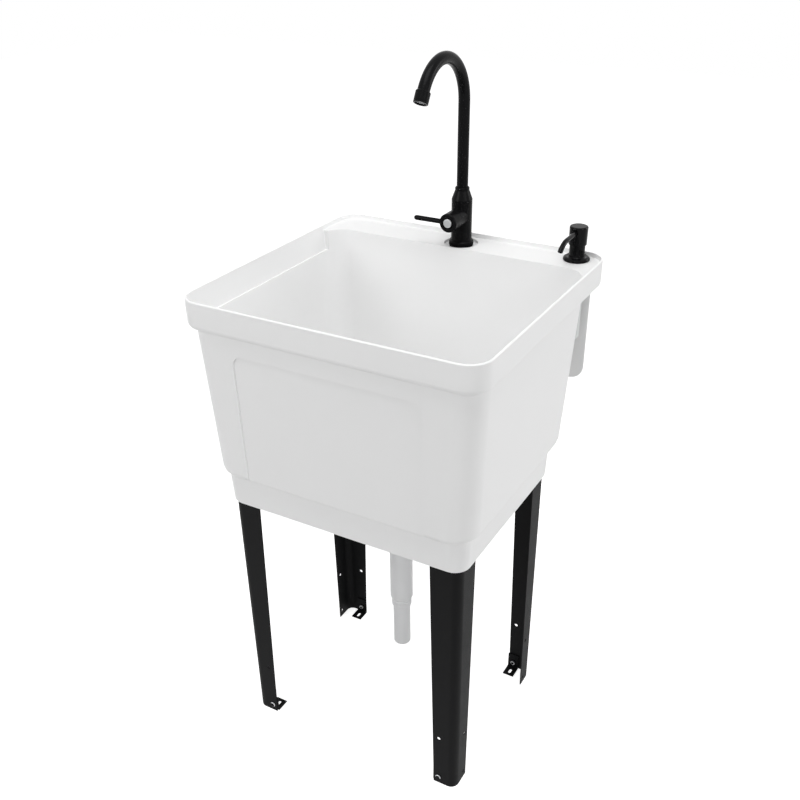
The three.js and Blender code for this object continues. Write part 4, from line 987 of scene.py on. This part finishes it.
class SINK_OT_pump(bpy.types.Operator):
    """Turns the soap pump's collar and head and bends its nozzle"""

    bl_idname = "sink.pump"
    bl_label = "Soap pump"

    def execute(self, context):
        collar = turned("flared_collar", [
            (8.8, 0), (10.5, 0), (10.5, 32.3), (21.2, 32.3), (22, 33.2), (21.7, 35.25),
            (20.2, 37.2), (17.5, 38.5), (14, 37.9), (12.8, 39.3), (12.8, 59), (8.8, 59),
        ], on_pump("pump_collar"), faces=64, ease=0.6)
        dress(collar, pump_black(), "gloss_black", "sink", "pump_collar")

        place = on_pump("pump_head")
        head = turned("press_head", [
            (0, 23), (3.5, 23), (3.5, 16), (13.2, 16), (13.2, 0), (14.7, 0), (15.1, 27.8),
            (14.3, 29.4), (12.7, 30), (0, 30),
        ], place, faces=64, ease=0.7)
        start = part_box("pump_nozzle")[1].y
        nozzle_place = Vector((PUMP.x, start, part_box("pump_nozzle")[1].z - NOZZLE_RADIUS))
        socket = rod("drill", 4.4, 12, nozzle_place - FORWARD * 0.4 * MM, FORWARD, 32)
        combine(head, socket, "DIFFERENCE")
        dress(head, pump_black(), "gloss_black", "pump_head", "pump_head")

        deselect()
        bpy.ops.mesh.primitive_circle_add(
            vertices=28, radius=NOZZLE_RADIUS, location=nozzle_place,
            rotation=(math.radians(90), 0, 0),
        )
        nozzle = context.object
        nozzle.name = "curved_nozzle"
        bpy.ops.object.transform_apply(location=False, rotation=True, scale=False)
        straight = NOZZLE_REACH - (PUMP.y - nozzle_place.y) - NOZZLE_BEND * math.sin(NOZZLE_TURN)
        open_mesh()
        extrude((0, -straight, 0))
        centre = nozzle_place + Vector((0, -straight, -NOZZLE_BEND))
        bpy.ops.mesh.spin(steps=14, angle=NOZZLE_TURN, center=centre, axis=(-1, 0, 0))
        outward()
        settle()
        thicken(nozzle, 1.8 * MM, nozzle_place + Vector((4.1, -10, 0)) * MM, -LEFT)
        dress(nozzle, pump_black(), "gloss_black", "pump_head", "pump_nozzle")
        return {"FINISHED"}


class SINK_OT_bottle(bpy.types.Operator):
    """Makes the soap bottle under the deck with its nut, its washer and the pump's spring"""

    bl_idname = "sink.bottle"
    bl_label = "Soap bottle"

    def execute(self, context):
        washer = turned("pump_ring", ring_profile(10.8, 18, 2), on_pump("pump_washer"), ease=0.5)
        dress(washer, black_rubber(), "rubber", "sink", "pump_washer")
        nut = turned("grip_nut", ring_profile(10.8, 18.2, 7), on_pump("pump_nut"), faces=72, ease=0)
        raise_faces(nut, 18, 0.5, 0.7, PUMP)
        bevel(nut, 0.3, 40)
        dress(nut, pipe_plastic(), "grey_plastic", "sink", "pump_nut")
        bottle = turned("bottle", [
            (0, 0), (12, 0), (15, 3), (15, 74), (12.5, 82), (12.5, 122), (10.8, 122), (10.8, 82),
            (13.7, 74), (13.7, 3.5), (11.5, 1.3), (0, 1.3),
        ], on_pump("soap_bottle"), faces=56, ease=1.0)
        dress(bottle, milky_plastic(), "natural_plastic", "sink", "soap_bottle")
        for node in ("pump_chamber", "dip_tube", "pump_plunger"):
            keep_node(node, milky_plastic())
        spring = copy_of(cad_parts["pump_spring"], "return_spring", Matrix())
        edit(spring)
        outward()
        bpy.ops.object.mode_set(mode="OBJECT")
        dress(spring, plated_steel(), "bright_steel", "sink", "pump_spring")
        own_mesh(spring)
        return {"FINISHED"}


# ---------------------------------------------------------------- stage


FLOOR_SIZE = 14
FLOOR_DROP = 0.0002
# Each lamp's name, setting, size and place, in metres, and the place that all of them shine at.
LAMPS = (
    ("Top lamp", "top", 1.2, (0.2, -0.3, 2.6)),
    ("Front lamp", "front", 1.0, (-1.2, -1.9, 1.9)),
    ("Right lamp", "right", 1.0, (1.9, -0.6, 1.5)),
    ("Back lamp", "back", 0.8, (1.7, 1.5, 1.4)),
)
LAMPS_AIM = Vector((0, 0, 0.65))
# The photograph's camera, as fitted to the sink's edges: its place in metres, its turns in radians,
# and its focal length and the centre of its lens in pixels of a square picture.
CAMERA_PLACE = (0.68986711, -1.21142959, 1.36098512)
CAMERA_YAW, CAMERA_PITCH, CAMERA_ROLL = 0.51655626, 0.55443568, -0.01061664
PICTURE = 800
FOCAL_LENGTH = 944.769
LENS_CENTRE = (405.418, 463.756)
SENSOR = 36


def floor_finish():
    """A pale floor that the camera sees as white where it is lit, and that keeps the shadow."""
    made = bpy.data.materials.new("Studio floor")
    made.use_nodes = True
    nodes, links = made.node_tree.nodes, made.node_tree.links
    shader = nodes["Principled BSDF"]
    shader.inputs["Base Color"].default_value = (0.8, 0.8, 0.8, 1)
    shader.inputs["Roughness"].default_value = 0.9
    shader.inputs["Specular IOR Level"].default_value = 0.0
    shader.inputs["Emission Color"].default_value = (1, 1, 1, 1)
    seen = seen_directly(nodes, links)
    strength = nodes.new("ShaderNodeMath")
    strength.operation = "MULTIPLY"
    strength.inputs[1].default_value = 0.8
    links.new(seen, strength.inputs[0])
    links.new(strength.outputs[0], shader.inputs["Emission Strength"])
    return made


def seen_directly(nodes, links):
    """1 for a ray from the camera or by way of a mirror or glass, and otherwise 0."""
    light_path = nodes.new("ShaderNodeLightPath")
    value = light_path.outputs["Is Camera Ray"]
    for other in ("Is Glossy Ray", "Is Transmission Ray"):
        either = nodes.new("ShaderNodeMath")
        either.operation = "MAXIMUM"
        links.new(value, either.inputs[0])
        links.new(light_path.outputs[other], either.inputs[1])
        value = either.outputs[0]
    return value


class SINK_OT_stage(bpy.types.Operator):
    """Sets up the floor, the light and the camera"""

    bl_idname = "sink.stage"
    bl_label = "Stage"

    def execute(self, context):
        scene = context.scene
        deselect()
        bpy.ops.mesh.primitive_plane_add(size=FLOOR_SIZE, location=(0, 0, -FLOOR_DROP))
        floor = context.object
        floor.name = "studio_floor"
        floor.data.materials.append(floor_finish())
        self.light_the_room(scene)
        self.place_camera(context)
        scene.view_settings.view_transform = "Standard"
        return {"FINISHED"}

    def light_the_room(self, scene):
        light = scene.sink_light
        world = bpy.data.worlds.new("Studio")
        scene.world = world
        world.use_nodes = True
        nodes, links = world.node_tree.nodes, world.node_tree.links
        background = nodes["Background"]
        background.inputs["Color"].default_value = (1, 1, 1, 1)
        strength = nodes.new("ShaderNodeMapRange")
        strength.inputs["To Min"].default_value = light.room
        strength.inputs["To Max"].default_value = 1.0
        links.new(seen_directly(nodes, links), strength.inputs["Value"])
        links.new(strength.outputs["Result"], background.inputs["Strength"])
        for name, setting, size, place in LAMPS:
            deselect()
            bpy.ops.object.light_add(type="AREA", location=place)
            lamp = bpy.context.object
            lamp.name = name
            lamp.data.energy = getattr(light, setting)
            lamp.data.shape = "SQUARE"
            lamp.data.size = size
            aim = LAMPS_AIM - Vector(place)
            lamp.rotation_mode = "QUATERNION"
            lamp.rotation_quaternion = aim.to_track_quat("-Z", "Y")

    def place_camera(self, context):
        yaw, pitch, roll = CAMERA_YAW, CAMERA_PITCH, CAMERA_ROLL
        level = math.cos(pitch)
        ahead = Vector((-math.sin(yaw) * level, math.cos(yaw) * level, -math.sin(pitch)))
        right = Vector((math.cos(yaw), math.sin(yaw), 0))
        up = right.cross(ahead)
        tilted_right = math.cos(roll) * right + math.sin(roll) * up
        tilted_up = -math.sin(roll) * right + math.cos(roll) * up
        turn = Matrix((tilted_right, tilted_up, -ahead)).transposed().to_4x4()
        bpy.ops.object.camera_add()
        camera = context.object
        camera.name = "Camera"
        camera.matrix_world = Matrix.Translation(CAMERA_PLACE) @ turn
        camera.data.sensor_width = SENSOR
        camera.data.lens = FOCAL_LENGTH / PICTURE * SENSOR
        camera.data.shift_x = (PICTURE / 2 - LENS_CENTRE[0]) / PICTURE
        camera.data.shift_y = (LENS_CENTRE[1] - PICTURE / 2) / PICTURE
        context.scene.camera = camera


# ---------------------------------------------------------------- add-on

OPERATORS = (
    SINK_OT_stage, SINK_OT_tub, SINK_OT_legs, SINK_OT_feet, SINK_OT_strainer, SINK_OT_drain,
    SINK_OT_tap, SINK_OT_clamp, SINK_OT_spout, SINK_OT_lever, SINK_OT_pump, SINK_OT_bottle,
)
SETTINGS = (("sink_colours", SinkColours), ("sink_sizes", SinkSizes), ("sink_light", SinkLight))


class SINK_PT_pieces(bpy.types.Panel):
    """Lists the sink's pieces and their settings"""

    bl_label = "Laundry sink"
    bl_idname = "SINK_PT_pieces"
    bl_space_type = "VIEW_3D"
    bl_region_type = "UI"
    bl_category = "Sink"

    def draw(self, context):
        for operator in OPERATORS:
            self.layout.operator(operator.bl_idname)
        for name, group in SETTINGS:
            box = self.layout.box()
            for setting in group.__annotations__:
                box.prop(getattr(context.scene, name), setting)


def register():
    for _, group in SETTINGS:
        bpy.utils.register_class(group)
    for name, group in SETTINGS:
        setattr(bpy.types.Scene, name, bpy.props.PointerProperty(type=group))
    for cls in (*OPERATORS, SINK_PT_pieces):
        bpy.utils.register_class(cls)


def unregister():
    for cls in (SINK_PT_pieces, *reversed(OPERATORS)):
        bpy.utils.unregister_class(cls)
    for name, group in reversed(SETTINGS):
        delattr(bpy.types.Scene, name)
        bpy.utils.unregister_class(group)


def main():
    register()
    for operator in OPERATORS:
        group, name = operator.bl_idname.split(".")
        getattr(getattr(bpy.ops, group), name)()


if __name__ == "__main__":
    main()
